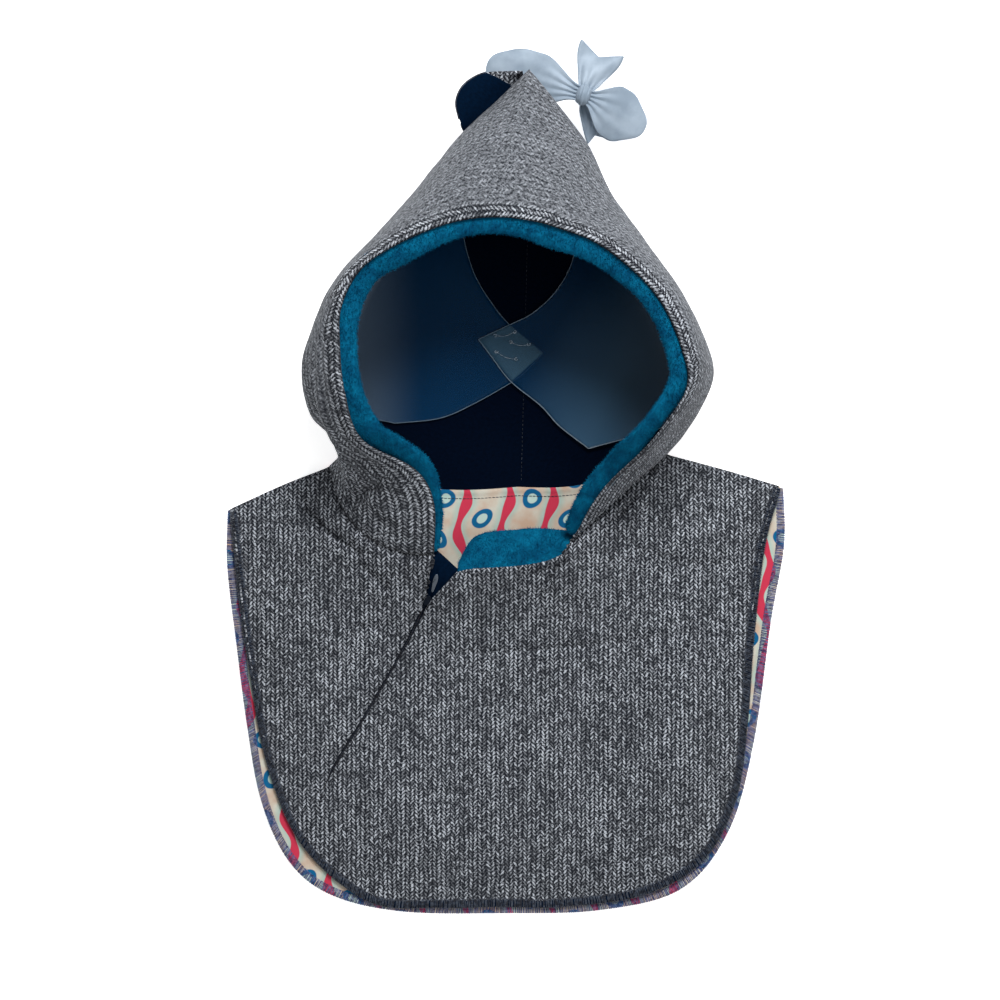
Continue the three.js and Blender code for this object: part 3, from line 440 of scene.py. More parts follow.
def pile(name, base, count, length, radius, lean, seed):
    """Short tufts all over a piece: each is a slim three-sided spike, tipped over by a share of its length.
    Those near each other lean the same way."""
    mesh = base.data
    mesh.calc_loop_triangles()
    places = np.empty(len(mesh.vertices) * 3)
    mesh.vertices.foreach_get("co", places)
    places = places.reshape(-1, 3)
    normals = np.array([v.normal[:] for v in mesh.vertices])
    corners = np.array([t.vertices[:] for t in mesh.loop_triangles])
    a, b, c = (places[corners[:, i]] for i in range(3))
    area = np.linalg.norm(np.cross(b - a, c - a), axis=1)
    random = np.random.default_rng(seed)
    pick = random.choice(len(corners), count, p=area / area.sum())
    share = random.random((count, 2))
    share = np.where(share.sum(1, keepdims=True) > 1, 1 - share, share)
    share = np.column_stack([1 - share.sum(1), share])[:, :, None]
    root = (places[corners[pick]] * share).sum(1)
    out = unit((normals[corners[pick]] * share).sum(1))
    drift = np.array([noise.noise_vector(Vector(p) / (14 * MM) + Vector((seed, 0, 0)))[:] for p in root])
    tip = unit(out + drift * lean * 2 + random.normal(0, lean * 0.5, (count, 3)))
    long = length * MM * random.uniform(0.6, 1.15, (count, 1))
    side = unit(np.cross(out, random.normal(0, 1, (count, 3))))
    other = np.cross(out, side)
    turns = np.arange(3) * 2 * math.pi / 3
    sunk = root - out * 0.15 * MM
    feet = [sunk + (side * math.cos(w) + other * math.sin(w)) * radius * MM for w in turns]
    points = np.stack([*feet, root + tip * long], axis=1)
    faces = np.arange(count)[:, None, None] * 4 + np.array([[0, 1, 3], [1, 2, 3], [2, 0, 3], [2, 1, 0]])
    return mesh_of(name, points, faces.reshape(-1, 3), smooth_faces=False)


def solidify(piece, thickness, offset=-1):
    wall = piece.modifiers.new("thickness", "SOLIDIFY")
    wall.thickness = thickness * MM
    wall.offset = offset
    return piece


# Materials

def linear(code):
    """An sRGB hex code as a linear colour."""
    shares = [int(code[i:i + 2], 16) / 255 for i in (1, 3, 5)]
    return (*[c / 12.92 if c <= 0.04045 else ((c + 0.055) / 1.055) ** 2.4 for c in shares], 1)


def add_node(tree, kind, *inputs, **settings):
    """Adds a node with its settings, and gives its outputs. Its kind may be followed by its operation. The
    inputs are values or sockets to link, in the node's order or in a dict."""
    kind, *operation = kind.split()
    made = tree.nodes.new("ShaderNode" + kind)
    settings.update(zip(["operation"], operation))
    for name, value in settings.items():
        setattr(made, name, value)
    in_dict = inputs and isinstance(inputs[0], dict)
    for key, value in (inputs[0] if in_dict else dict(enumerate(inputs))).items():
        if isinstance(value, bpy.types.NodeSocket):
            tree.links.new(value, made.inputs[key])
        else:
            made.inputs[key].default_value = value
    return made.outputs


def finish(look):
    """Turns a look, which adds nodes and returns its shader, into a maker of materials with a name."""
    def material(name, *traits, **more):
        made = bpy.data.materials.new(name)
        made.use_nodes = True
        made.node_tree.nodes.clear()
        add = partial(add_node, made.node_tree)
        add("OutputMaterial", look(add, *traits, **more))
        return made
    return material


def weave_place(add):
    """The place on the weave in mm, as sockets for across and along."""
    uv = add("UVMap", uv_map=WEAVE)[0]
    return uv, add("SeparateXYZ", uv)


@finish
def herringbone(add, ground, yarn, column, slope, braid=None):
    """Herringbone softshell, woven of black and heathered grey yarn: columns of short slanting strokes that
    turn over from column to column, each stroke of its own brightness and worn thin at the column's edges.
    With a braid, the strokes are bold only up to that distance from the rim, and the brushed nap blurs them
    beyond it, the more the nearer to the point. The strokes rise by the slope for each mm across."""
    pitch = 2.4                   # mm between strokes
    uv, (across, along_weave, _) = weave_place(add)
    wander = add("TexNoise", {"Vector": uv, "Scale": 0.11, "Detail": 2.0})["Fac"]
    wander = add("Math SUBTRACT", wander, 0.5)[0]
    bent = add("Math MULTIPLY_ADD", wander, 2.6, across)[0]
    zigzag = add("Math PINGPONG", bent, column)[0]
    rise = add("Math MULTIPLY_ADD", zigzag, slope, along_weave)[0]
    frayed = add("TexNoise", {"Vector": uv, "Scale": 0.8, "Detail": 2.0})["Fac"]
    rise = add("Math MULTIPLY_ADD", frayed, 3.2, rise)[0]
    columns = add("Math DIVIDE", bent, column)[0]
    column_number = add("Math FLOOR", columns)[0]
    shifted = add("TexWhiteNoise", {"W": column_number}, noise_dimensions="1D")["Value"]
    rise = add("Math MULTIPLY_ADD", shifted, pitch, rise)[0]
    strokes = add("Math DIVIDE", rise, pitch)[0]
    number = add("Math FLOOR", strokes)[0]
    off_middle = []
    for place in (strokes, columns):
        share = add("Math FRACT", place)[0]
        share = add("Math SUBTRACT", share, 0.5)[0]
        off_middle.append(add("Math ABSOLUTE", share)[0])
    thin = add("MapRange", off_middle[1], 0.12, 0.5, 0.0, 0.34)[0]
    off_stroke = add("Math ADD", off_middle[0], thin)[0]
    stroke = add("MapRange", off_stroke, 0.52, 0.04, interpolation_type="SMOOTHSTEP")[0]

    cell = add("CombineXYZ", column_number, number)[0]
    heather = add("TexWhiteNoise", {"Vector": cell}, noise_dimensions="2D")["Value"]
    bright = add("MapRange", heather, 0.0, 1.0, 0.3, 1.5)[0]
    # Pressed places some 25 mm wide, slubs of 2 mm, and streaks 3 mm wide that run along the yarn
    for scale, detail, roughness, limits in (
        ((0.05, 0.03, 1.0), 2.0, 0.5, (0.35, 0.65, 0.84, 1.16)),
        ((0.6, 0.6, 0.6), 3.0, 0.7, (0.4, 0.62, 0.2, 1.4)),
        ((0.36, 0.022, 1.0), 3.0, 0.5, (0.3, 0.7, 0.6, 1.4)),
    ):
        stretched = add("Mapping", {0: uv, 3: scale})[0]
        uneven = {"Vector": stretched, "Scale": 1.0, "Detail": detail, "Roughness": roughness}
        uneven = add("MapRange", add("TexNoise", uneven)["Fac"], *limits)[0]
        bright = add("Math MULTIPLY", bright, uneven)[0]
    light = add("Math MULTIPLY", stroke, bright, use_clamp=True)[0]
    if braid:
        place = add("TexCoord")["Object"]
        _, north, _ = add("SeparateXYZ", place)
        far = add("MapRange", across, braid, braid + 2.5)[0]
        worn = add("MapRange", north, 0.0, 0.1, 0.05, 0.66)[0]
        far = add("Math MULTIPLY", far, worn)[0]
        slanted = add("Mapping", {0: uv, 2: (0, 0, 0.5), 3: (0.62, 0.4, 1.0)})[0]
        nap = add("TexNoise", {"Vector": slanted, "Scale": 1.0, "Detail": 3.0, "Roughness": 0.75})
        nap = add("MapRange", nap["Fac"], 0.36, 0.62, -0.1, 0.51)[0]
        light = add("Mix", {0: far, 2: light, 3: nap})[0]
    colour = add("Mix", {0: light, 6: linear(ground), 7: linear(yarn)}, data_type="RGBA")[2]
    hairs = add("TexNoise", {"Vector": uv, "Scale": 3.2, "Detail": 2.0})["Fac"]
    height = add("Math MULTIPLY_ADD", hairs, 0.5, stroke)[0]
    normal = add("Bump", {"Height": height, "Distance": 0.25 * MM, "Strength": 0.6})[0]
    return add("BsdfPrincipled", {
        "Base Color": colour, "Roughness": 0.9, "Normal": normal, "Sheen Weight": 0.04,
        "Sheen Roughness": 0.5, "Specular IOR Level": 0.12,
    })[0]


@finish
def knit_lining(add, colour):
    """Brushed polyester lining, knitted and pressed: nearly black navy with a fine rib that barely shows."""
    uv, (across, _, _) = weave_place(add)
    ribs = add("Math MULTIPLY", across, 4.2)[0]
    ribs = add("Math SINE", ribs)[0]
    nap = add("TexNoise", {"Vector": uv, "Scale": 0.5, "Detail": 4.0})["Fac"]
    shade = add("MapRange", nap, 0.3, 0.7)[0]
    dark = tuple(c * 0.6 for c in linear(colour)[:3]) + (1,)
    mixed = add("Mix", {0: shade, 6: dark, 7: linear(colour)}, data_type="RGBA")[2]
    height = add("Math MULTIPLY_ADD", ribs, 0.4, nap)[0]
    normal = add("Bump", {"Height": height, "Distance": 0.05 * MM, "Strength": 0.5})[0]
    return add("BsdfPrincipled", {
        "Base Color": mixed, "Roughness": 0.9, "Normal": normal, "Specular IOR Level": 0.03,
    })[0]


@finish
def plush(add, low, high):
    """Short-pile polyester plush, brushed one way: bright where the pile lies open, deep where it is pressed.
    Its clouds are 8 mm and its hairs 1 mm apart."""
    place = add("TexCoord")["Object"]
    clouds = add("TexNoise", {"Vector": place, "Scale": 120.0, "Detail": 4.0, "Roughness": 0.6})["Fac"]
    clouds = add("MapRange", clouds, 0.32, 0.68)[0]
    hairs = add("TexNoise", {"Vector": place, "Scale": 900.0, "Detail": 2.0})["Fac"]
    share = add("Math MULTIPLY_ADD", hairs, 0.5, clouds)[0]
    share = add("Math SUBTRACT", share, 0.25, use_clamp=True)[0]
    colour = add("Mix", {0: share, 6: linear(low), 7: linear(high)}, data_type="RGBA")[2]
    normal = add("Bump", {"Height": hairs, "Distance": 0.4 * MM, "Strength": 0.6})[0]
    return add("BsdfPrincipled", {
        "Base Color": colour, "Roughness": 0.95, "Normal": normal, "Sheen Weight": 0.25,
        "Sheen Roughness": 0.4, "Sheen Tint": linear("#1a8cb8"), "Specular IOR Level": 0.06,
    })[0]


@finish
def printed_cloth(add):
    """Printed cotton lining with a generic design: wavy coral bands, and ringed dots in teal between them,
    on a cream and peach ground with sage shading along the bands."""
    repeat, drop = 27.0, 25.0     # mm between bands, and between dots
    wave, swell = 44, 22          # mm from wave to wave of a band, and from swell to swell
    # The plain weave is 0.3 mm, too fine to show, and is drawn at 0.9 mm
    weave = 2 * math.pi / 7
    place = add("TexCoord")["Object"]
    place = add("VectorMath SCALE", {0: place, "Scale": 1 / MM})[0]
    x, y, _ = add("SeparateXYZ", place)
    sines = []
    for way, length in ((y, wave), (y, swell), (x, weave), (y, weave)):
        turns = add("Math MULTIPLY", way, 2 * math.pi / length)[0]
        sines.append(add("Math SINE", turns)[0])
    moved = add("Math MULTIPLY_ADD", sines[0], 3.2, x)[0]
    column = add("Math DIVIDE", moved, repeat)[0]
    odd = add("Math FLOOR", column)[0]
    odd = add("Math MULTIPLY", odd, 0.5)[0]
    odd = add("Math FRACT", odd)[0]
    row = add("Math DIVIDE", y, drop)[0]
    row = add("Math ADD", row, odd)[0]
    off_dot = []
    for cell, size in ((column, repeat), (row, drop)):
        share = add("Math FRACT", cell)[0]
        share = add("Math SUBTRACT", share, 0.5)[0]
        off_dot.append(add("Math MULTIPLY", share, size)[0])
    from_band = add("Math ABSOLUTE", off_dot[0])[0]
    from_band = add("Math SUBTRACT", repeat / 2, from_band)[0]
    band_edge = add("Math MULTIPLY_ADD", sines[1], 0.9, 2.7)[0]
    past_band = add("Math SUBTRACT", from_band, band_edge)[0]
    from_dot = add("CombineXYZ", *off_dot)[0]
    from_dot = add("VectorMath LENGTH", from_dot)["Value"]
    clouds = add("TexNoise", {"Vector": place, "Scale": 0.09, "Detail": 3.0})["Fac"]
    drawn = linear("#d0ccbe")
    for reach, limits, colour in (
        (clouds, (0.35, 0.65), "#c9ab94"),
        (past_band, (4.5, 0.3, 0.0, 0.9), "#aac6bd"),
        (past_band, (0.25, -0.25), "#cb3550"),
        (from_dot, (6.3, 5.9), "#02608f"),
        (from_dot, (3.3, 2.9), "#bcd4cb"),
    ):
        share = add("MapRange", reach, *limits)[0]
        drawn = add("Mix", {0: share, 6: drawn, 7: linear(colour)}, data_type="RGBA")[2]
    height = add("Math MULTIPLY", sines[2], sines[3])[0]
    normal = add("Bump", {"Height": height, "Distance": 0.12 * MM, "Strength": 0.5})[0]
    return add("BsdfPrincipled", {
        "Base Color": drawn, "Roughness": 0.85, "Normal": normal, "Sheen Weight": 0.1,
        "Specular IOR Level": 0.2,
    })[0]


@finish
def spun_thread(add, dark, light):
    """Spun polyester sewing thread: two tones that change along the seam, with a slight gloss."""
    place = add("TexCoord")["Object"]
    tone = add("TexNoise", {"Vector": place, "Scale": 1.2 / (2 * MM), "Detail": 2.0})["Fac"]
    tone = add("MapRange", tone, 0.4, 0.66)[0]
    colour = add("Mix", {0: tone, 6: linear(dark), 7: linear(light)}, data_type="RGBA")[2]
    return add("BsdfPrincipled", {
        "Base Color": colour, "Roughness": 0.6, "Sheen Weight": 0.1, "Specular IOR Level": 0.4,
    })[0]


@finish
def reflective_cloth(add):
    """Reflective fabric, glass beads on a woven back: satin silver-blue, paler where it is stretched."""
    place = add("TexCoord")["Object"]
    rubbed = add("TexNoise", {"Vector": place, "Scale": 70.0, "Detail": 4.0})["Fac"]
    rubbed = add("MapRange", rubbed, 0.35, 0.65)[0]
    colour = add("Mix", {0: rubbed, 6: linear("#8090a0"), 7: linear("#98a7b6")}, data_type="RGBA")[2]
    # The beads are 0.05 mm, too fine to show, and are drawn at 0.4 mm
    beads = add("TexNoise", {"Vector": place, "Scale": 2500.0, "Detail": 1.0})["Fac"]
    normal = add("Bump", {"Height": beads, "Distance": 0.08 * MM, "Strength": 0.4})[0]
    return add("BsdfPrincipled", {
        "Base Color": colour, "Roughness": 0.55, "Metallic": 0.1, "Normal": normal, "Sheen Weight": 0.1,
    })[0]


@finish
def clear_sheet(add, tint, painted_reflection_colour, alpha):
    """Soft vinyl sheet, calendered: clear, with a faint blue tint. Towards the wearer's left and the chin it
    turns paler, a painted reflection of the lamps; at the sides it turns to a paler grey, painted light where
    the sheets stand in shade against the hood's wall; and it is paler again where the two sheets lie on each
    other, a painted reflection of the double layer."""
    place = add("TexCoord")["Object"]
    clouds = add("TexNoise", {"Vector": place, "Scale": 14.0, "Detail": 2.0})["Fac"]
    x, y, _ = add("SeparateXYZ", place)
    # Painted reflection: the tint turns paler towards the wearer's left and the chin
    slant = add("Math MULTIPLY_ADD", y, -0.6, x)[0]
    slant = add("Math MULTIPLY_ADD", clouds, 0.03, slant)[0]
    share = add("MapRange", slant, -0.01, 0.05)[0]
    colour = add("Mix", {0: share, 6: linear(tint), 7: linear(painted_reflection_colour)}, data_type="RGBA")[2]
    # Painted light: paler grey at the sides, where the sheets stand in shade against the hood's wall
    aside_of = add("Math SUBTRACT", x, 0.005)[0]
    aside_of = add("Math ABSOLUTE", aside_of)[0]
    side_painted_light = add("MapRange", aside_of, 0.055, 0.107, 0.0, 0.7, interpolation_type="SMOOTHSTEP")[0]
    colour = add("Mix", {0: side_painted_light, 6: colour, 7: linear("#7e93a8")}, data_type="RGBA")[2]
    # Painted reflection: paler where the two sheets lie on each other
    inside = 1.0
    for start, end in zip(OVERLAP, OVERLAP[1:] + OVERLAP[:1]):
        start, end = to_frame([(*start, 0), (*end, 0)])[:, :2]
        inward = unit(np.array([start[1] - end[1], end[0] - start[0]]))
        reach = add("VectorMath DOT_PRODUCT", place, (*inward, 0))["Value"]
        reach = add("Math SUBTRACT", reach, float(inward @ start))[0]
        inside = add("Math MINIMUM", inside, reach)[0]
    overlap_painted_reflection = add("MapRange", inside, -0.2 * MM, 0.4 * MM)[0]
    colour = add("Mix", {0: overlap_painted_reflection, 6: colour, 7: linear("#446983")}, data_type="RGBA")[2]
    return add("BsdfPrincipled", {
        "Base Color": colour, "Roughness": 0.3, "Alpha": alpha, "IOR": 1.5, "Specular IOR Level": 0.14,
    })[0]


@finish
def cast_metal(add, colour, roughness):
    """Zinc alloy, cast and plated: light grey with a slightly uneven gloss."""
    place = add("TexCoord")["Object"]
    worn = add("TexNoise", {"Vector": place, "Scale": 600.0, "Detail": 3.0})["Fac"]
    rough = add("MapRange", worn, 0.3, 0.7, roughness * 0.7, roughness * 1.3)[0]
    return add("BsdfPrincipled", {
        "Base Color": linear(colour), "Metallic": 1.0, "Roughness": rough,
    })[0]


@finish
def matt_paint(add, colour, glow):
    """Matt painted board: even and without gloss, and lit up a little so that it stays pale."""
    return add("BsdfPrincipled", {
        "Base Color": linear(colour), "Roughness": 0.9, "Emission Color": linear("#ffffff"),
        "Emission Strength": glow,
    })[0]


BIB_CLOTH = herringbone("herringbone softshell", "#1a1d24", "#bec4cd", 2.8, 1.05)
HOOD_CLOTH = herringbone("herringbone softshell, brushed", "#191c23", "#bec4cd", 4.0, 0.72, braid=8.0)
LINING_CLOTH = knit_lining("brushed polyester lining", "#010a1c")
FLAP_CLOTH = knit_lining("navy softshell backing", "#02152b")
TEAL_PLUSH = plush("polyester plush", "#02476a", "#056b8f")
PRINT = printed_cloth("printed cotton lining")
NAVY_THREAD = spun_thread("navy overlock thread", "#0b0f1c", "#4c5564")
BLUE_THREAD = spun_thread("blue overlock thread", "#27265a", "#6c76a4")
DARK_THREAD = spun_thread("dark navy thread", "#050a16", "#1d2739")
PALE_THREAD = spun_thread("pale sewing thread", "#8fa0b0", "#d5dde6")
SILVER_CLOTH = reflective_cloth("reflective fabric")
CLEAR = clear_sheet("clear vinyl sheet", "#003860", "#4a7292", 0.45)
# Painted highlight: the sheets' cut edges are pale to stand in for light caught on them, the right one paler
# and more opaque, painted as lit more
CLEAR_EDGE_HIGHLIGHTS = {
    "former_left": clear_sheet("cut edge of vinyl sheet", "#8fa6b8", "#9fb4c4", 0.5),
    "former_right": clear_sheet("cut edge of vinyl sheet, lit", "#9fb4c4", "#b4c4d0", 0.85),
}
PULL_METAL = cast_metal("plated zinc alloy", "#646c76", 0.35)
SLIDER_METAL = cast_metal("blackened zinc alloy", "#1a1f28", 0.45)
STUDIO_FLOOR = matt_paint("pale studio floor", "#f6f6f6", 0.75)


def dress(piece, material, slot, *nodes):
    """Gives a piece its material; the slot is not used. It rides on the one body and stands for the nodes
    named.
    """
    piece.data.materials.append(material)
    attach(piece, "root")
    if nodes:
        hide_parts(*nodes)
    return piece


# The hood

def rounded_rim(points, from_rim):
    """Turns the hood's cloth down over its rim."""
    near = np.clip(1 - from_rim / RIM_ROUND, 0, 1)
    drop = RIM_ROUND * (1 - np.sqrt(1 - near**2))
    points = points.copy()
    points[..., 2] -= drop
    return points


def hood_tables():
    """The hood's points by ray and row, with the distance from the rim and the distance round the hood."""
    rays, rows = np.meshgrid(hood_rays(), hood_rows(), indexing="ij")
    points = hood_surface(rays, rows)
    steps = np.linalg.norm(np.diff(points, axis=1), axis=2)
    from_rim = np.concatenate([np.zeros((len(rays), 1)), np.cumsum(steps, axis=1)], axis=1)
    steps = np.linalg.norm(np.diff(points, axis=0), axis=2)
    round_it = np.concatenate([np.zeros((1, rows.shape[1])), np.cumsum(steps, axis=0)], axis=0)
    round_it -= round_it[HOOD_COLUMNS // 2]
    return rays, rows, points, hood_normal(rays, rows), from_rim, round_it


RAYS, ROWS, HOOD_POINTS, HOOD_NORMALS, FROM_RIM, ROUND_HOOD = hood_tables()


def hood_relief(points, from_rim, rays):
    """Small folds of the hood's cloth: pleats along the rim on the left cheek, soft hollows all over, the
    folds of the collar, and the turned-in edge along the neck seam."""
    flat = points.reshape(-1, 3)
    hollows, creases = (
        ripple(flat * (1, 1, 0.5), size, seed).reshape(rays.shape) * height
        for size, seed, height in ((34, 1, 1.1), (13, 2, 0.4))
    )
    pleat, cheek_ray, cheek_rays = 8.5, 15.6, 1.7
    on_cheek = np.exp(-(((rays - cheek_ray) / cheek_rays) ** 2)) * smooth((from_rim - 10) / 6)
    pleats = 0.7 * np.sin(from_rim * 2 * math.pi / pleat) * on_cheek * (1 - smooth((from_rim - 70) / 10))
    folds = fold_lift(HOOD_FOLDS, flat[:, 0], flat[:, 1]).reshape(rays.shape)
    fade = smooth((from_rim - 4) / 12) * smooth((LAST_RAY - rays) / 0.35)
    turned_in = np.where((rays == 0) | (rays == LAST_RAY), 0.8, 0)
    return (hollows + creases + folds) * fade + pleats - turned_in


# Rays between which the hood's weave runs straight, along the chord of the rim
WEAVE_ZONES = [
    0, 1.2, 2.4, 3.6, 4.8, 6, 7.2, 8.2, 9, 10, 11, 12.2, 13.4, 14.6, 15.8, 16.8, 17.6, 18.3, 19, LAST_RAY,
]


def make_hood():
    """The hood's cloth, in one mesh of zones with their own weave, and its lining."""
    relief = hood_relief(HOOD_POINTS, FROM_RIM, RAYS) * (1 - smooth((ROWS - 0.5) / 0.2))
    outside = rounded_rim(HOOD_POINTS + HOOD_NORMALS * relief[..., None], FROM_RIM)
    rows = RAYS.shape[1] - 1
    bm = bmesh.new()
    bounds = np.searchsorted(RAYS[:, 0], np.array(WEAVE_ZONES) - 1e-6)
    for first, last in zip(bounds[:-1], bounds[1:]):
        chord = unit(HOOD_POINTS[last, 0] - HOOD_POINTS[first, 0])

        def numbers(s, t, first=first, last=last):
            return first + np.rint(s * (last - first)).astype(int), np.rint(t * rows).astype(int)

        def lay(s, t, first=first, chord=chord, numbers=numbers):
            at = numbers(s, t)
            ahead = (HOOD_POINTS[at] - HOOD_POINTS[first, 0]) @ chord
            beside = (HOOD_POINTS[at] - HOOD_POINTS[at[0], 0]) @ chord
            away = np.sqrt(np.maximum(FROM_RIM[at] ** 2 - beside**2, 0))
            return np.stack([away, ROUND_HOOD[first, 0] + ahead], -1)

        add_grid(bm, last - first, rows, lambda s, t, numbers=numbers: outside[numbers(s, t)], lay)
    bmesh.ops.remove_doubles(bm, verts=bm.verts, dist=MERGE)
    cloth = finish_mesh("hood_cloth", bm, flip=True)
    solidify(dress(cloth, HOOD_CLOTH, "herringbone_cloth", "hood_shell"), CLOTH)

    inside = HOOD_POINTS + HOOD_NORMALS * (np.minimum(relief, 0) - LINING_DEPTH)[..., None]
    inside += HOOD_NORMALS * ripple(HOOD_POINTS.reshape(-1, 3), 26, 3).reshape(RAYS.shape)[..., None] * 0.5
    first = RIM_ROWS

    def read(table, s, t):
        return table[np.rint(s * HOOD_COLUMNS).astype(int), first + np.rint(t * (rows - first)).astype(int)]

    lining = cloth_grid(
        "hood_inner_lining", HOOD_COLUMNS, rows - first, lambda s, t: read(inside, s, t),
        lambda s, t: np.stack([read(ROUND_HOOD, s, t), read(FROM_RIM, s, t)], -1),
    )
    solidify(dress(lining, LINING_CLOTH, "navy_lining", "hood_lining"), LINING)


make_hood()


def stitched(row, half, rise):
    """Short stitches at a row of points, each reaching half its length to either side and dipping there."""
    x, y = half
    return np.stack([row + (part * x, part * y, -abs(part) * rise) for part in (-1, 0, 1)], axis=1)


def make_seam_stitches():
    """The row of stitches along the lining's centre back seam."""
    y = np.arange(-2, 205, 2.6)
    z = BACK.at(np.interp(y, [row[0] for row in BACK_SEAM], range(len(BACK_SEAM))))[:, 1]
    row = np.column_stack([crest(y) + 1.9, y, z + LINING_DEPTH + 0.45])
    stitches = stitched(row, (0, 0.7), 0.3)
    dress(threads("back_seam_stitches", stitches, radius=0.16), DARK_THREAD, "edge_thread")


make_seam_stitches()


# Plush

def make_face_roll():
    """The plush facing, rolled round the face opening under the hood's rim. At the neck it lies level."""
    half_height = 2.6
    seam_gap = 1.6                # from the hood's cloth down to the roll

    def place(s, t):
        ray = 0.02 + (LAST_RAY - 0.04) * s
        rim = RIM.at(ray)
        ahead = unit(RIM.at(ray + 0.05) - RIM.at(ray - 0.05))
        outward = hood_surface(ray, 0.06) - hood_surface(ray, 0)
        outward[:, 2] = 0
        outward = unit(outward)
        up = -unit(np.cross(ahead, outward))
        outward = -unit(np.cross(up, ahead))
        at_neck = np.maximum(smooth((2.6 - ray) / 1.6), smooth((ray - 18) / 1.2))[:, None]
        level = unit(np.stack([ahead[:, 1], -ahead[:, 0], 0 * ray], -1))
        outward = unit(outward * (1 - at_neck) + level * at_neck)
        up = unit(np.cross(ahead, outward))
        up *= np.sign(up[:, 2:])
        tuck = 3.4 - 1.6 * at_neck[:, 0]
        half = (HOOD_TRAITS.at(ray)[:, 4] + tuck) / 2
        ends = np.sqrt(np.clip(1 - (1 - np.clip(np.minimum(s, 1 - s) / 0.008, 0, 1)) ** 2, 0, 1))
        lumps = 1 + 0.06 * ripple(rim, 9, 4)
        centre = rim + outward * (tuck - half)[:, None] - up * (CLOTH + seam_gap + half_height)
        turn = t * 2 * math.pi
        wide = outward * (half * np.cos(turn) * ends * np.where(np.cos(turn) < 0, lumps, 1))[:, None]
        return centre + wide + up * (half_height * np.sin(turn) * ends)[:, None]

    roll = cloth_grid("face_roll", 300, 16, place, laid(700, 40))
    dress(roll, TEAL_PLUSH, "teal_plush", "face_facing")
    tufts = pile("face_roll_pile", roll, count=36000, length=1.5, radius=0.22, lean=0.45, seed=11)
    dress(tufts, TEAL_PLUSH, "teal_plush")


make_face_roll()


# The bib

def hood_neck(ray):
    """The bib's edge in the plan along one of the hood's seams to it, tucked a little under the hood."""
    v = np.linspace(0, SIDE_V, 30)
    ahead = hood_surface(ray, np.minimum(v + 0.02, SIDE_V)) - hood_surface(ray, np.maximum(v - 0.02, 0))
    turn = 1 if ray == 0 else -1
    away = unit(np.stack([ahead[:, 1] * turn, -ahead[:, 0] * turn], -1))
    return plan(hood_surface(ray, v)) - away * 0.7


def plan(rows):
    return np.asarray(rows, float)[:, :2]


def neck_seams(count):
    return [hood_surface(ray, np.linspace(0, SIDE_V, count)) for ray in NECK_RAYS]


NECK_SAMPLES = np.concatenate([*neck_seams(16), Spline(NECKLINE).along(np.linspace(0, 1, 13))])
EDGE_SAMPLES = np.concatenate([
    Spline(rows).along(np.linspace(0, 1, count))
    for rows, count in ((FRONT_EDGE, 90), (SHOULDER_RIGHT, 12), (SHOULDER_LEFT, 12))
])
ZIP_SAMPLES = Spline(ZIP_LINE).along(np.linspace(0, 1, 120))
SEAM_SAMPLES = np.concatenate(neck_seams(90))


def nearest(samples, x, y):
    """The distance in the plan from each x, y to the nearest sample."""
    return np.sqrt(((x[:, None] - samples[:, 0]) ** 2 + (y[:, None] - samples[:, 1]) ** 2).min(1))


def front_underside(x, y):
    """Height of the front panel's underside."""
    from_edge = nearest(EDGE_SAMPLES, x, y)
    crown = BIB_LIFT + BIB_CROWN * smooth(from_edge / 60)
    weight = 1 / ((x[:, None] - NECK_SAMPLES[:, 0]) ** 2 + (y[:, None] - NECK_SAMPLES[:, 1]) ** 2 + 2) ** 2
    neck_height = (weight * NECK_SAMPLES[:, 2]).sum(1) / weight.sum(1) - CLOTH
    raised = np.exp(-((nearest(NECK_SAMPLES, x, y) / NECK_FALL) ** 1.4))
    free = smooth(from_edge / 12) * (1 - raised * 0.4) * smooth(nearest(SEAM_SAMPLES, x, y) / 5)
    return crown + np.maximum(neck_height - crown, 0) * raised + fold_lift(FOLDS, x, y) * free


def front_top(x, y):
    """Height of the front panel's top, with its small waves and the crease along the zip."""
    flat = np.stack([x, y, x * 0], -1)
    waves = ripple(flat * (1, 0.5, 1), 24, 5) * 0.8 + ripple(flat, 9, 6) * 0.22
    by_zip = np.exp(-((nearest(ZIP_SAMPLES, x, y) / 2.6) ** 2))
    by_seam = np.exp(-((nearest(SEAM_SAMPLES, x, y) / 1.8) ** 2))
    free = smooth(nearest(EDGE_SAMPLES, x, y) / 20)
    return front_underside(x, y) + CLOTH + waves * free - 1.6 * by_zip - np.where(x > 0, 3, 1.1) * by_seam


def patch(s, t, top, bottom, left, right):
    """Points in the plan of a four-sided patch between four lines, each read at shares of its length."""
    north, south = along(top, s), along(bottom, s)
    west, east = along(left, t), along(right, t)
    s, t = s[:, None], t[:, None]
    corners = (1 - t) * ((1 - s) * top[0] + s * top[-1]) + t * ((1 - s) * bottom[0] + s * bottom[-1])
    return (1 - t) * north + t * south + (1 - s) * west + s * east - corners


def aside(line, distance):
    """A line in the plan moved to its right by a distance."""
    ahead = unit(np.gradient(line, axis=0))
    return line + np.stack([ahead[:, 1], -ahead[:, 0]], -1) * distance


UNDER_BAND = 2.5              # how far the bib's cloth stops short of the oversewn edge's outside


def hem(edge, first, last, inward):
    """A stretch of a bib panel's edge between two rows, moved inwards."""
    return aside(plan(edge.along(SHARES, first, last)), inward)


def zip_slit():
    """Half the slit's width over the zip: wider at its open top, and closed at its foot."""
    open_top = 0.7 * np.clip(1 - SHARES / 0.3, 0, 1)
    closed = np.clip((1 - SHARES) / 0.08, 0.15, 1)
    return ((0.75 + open_top) * closed)[:, None]


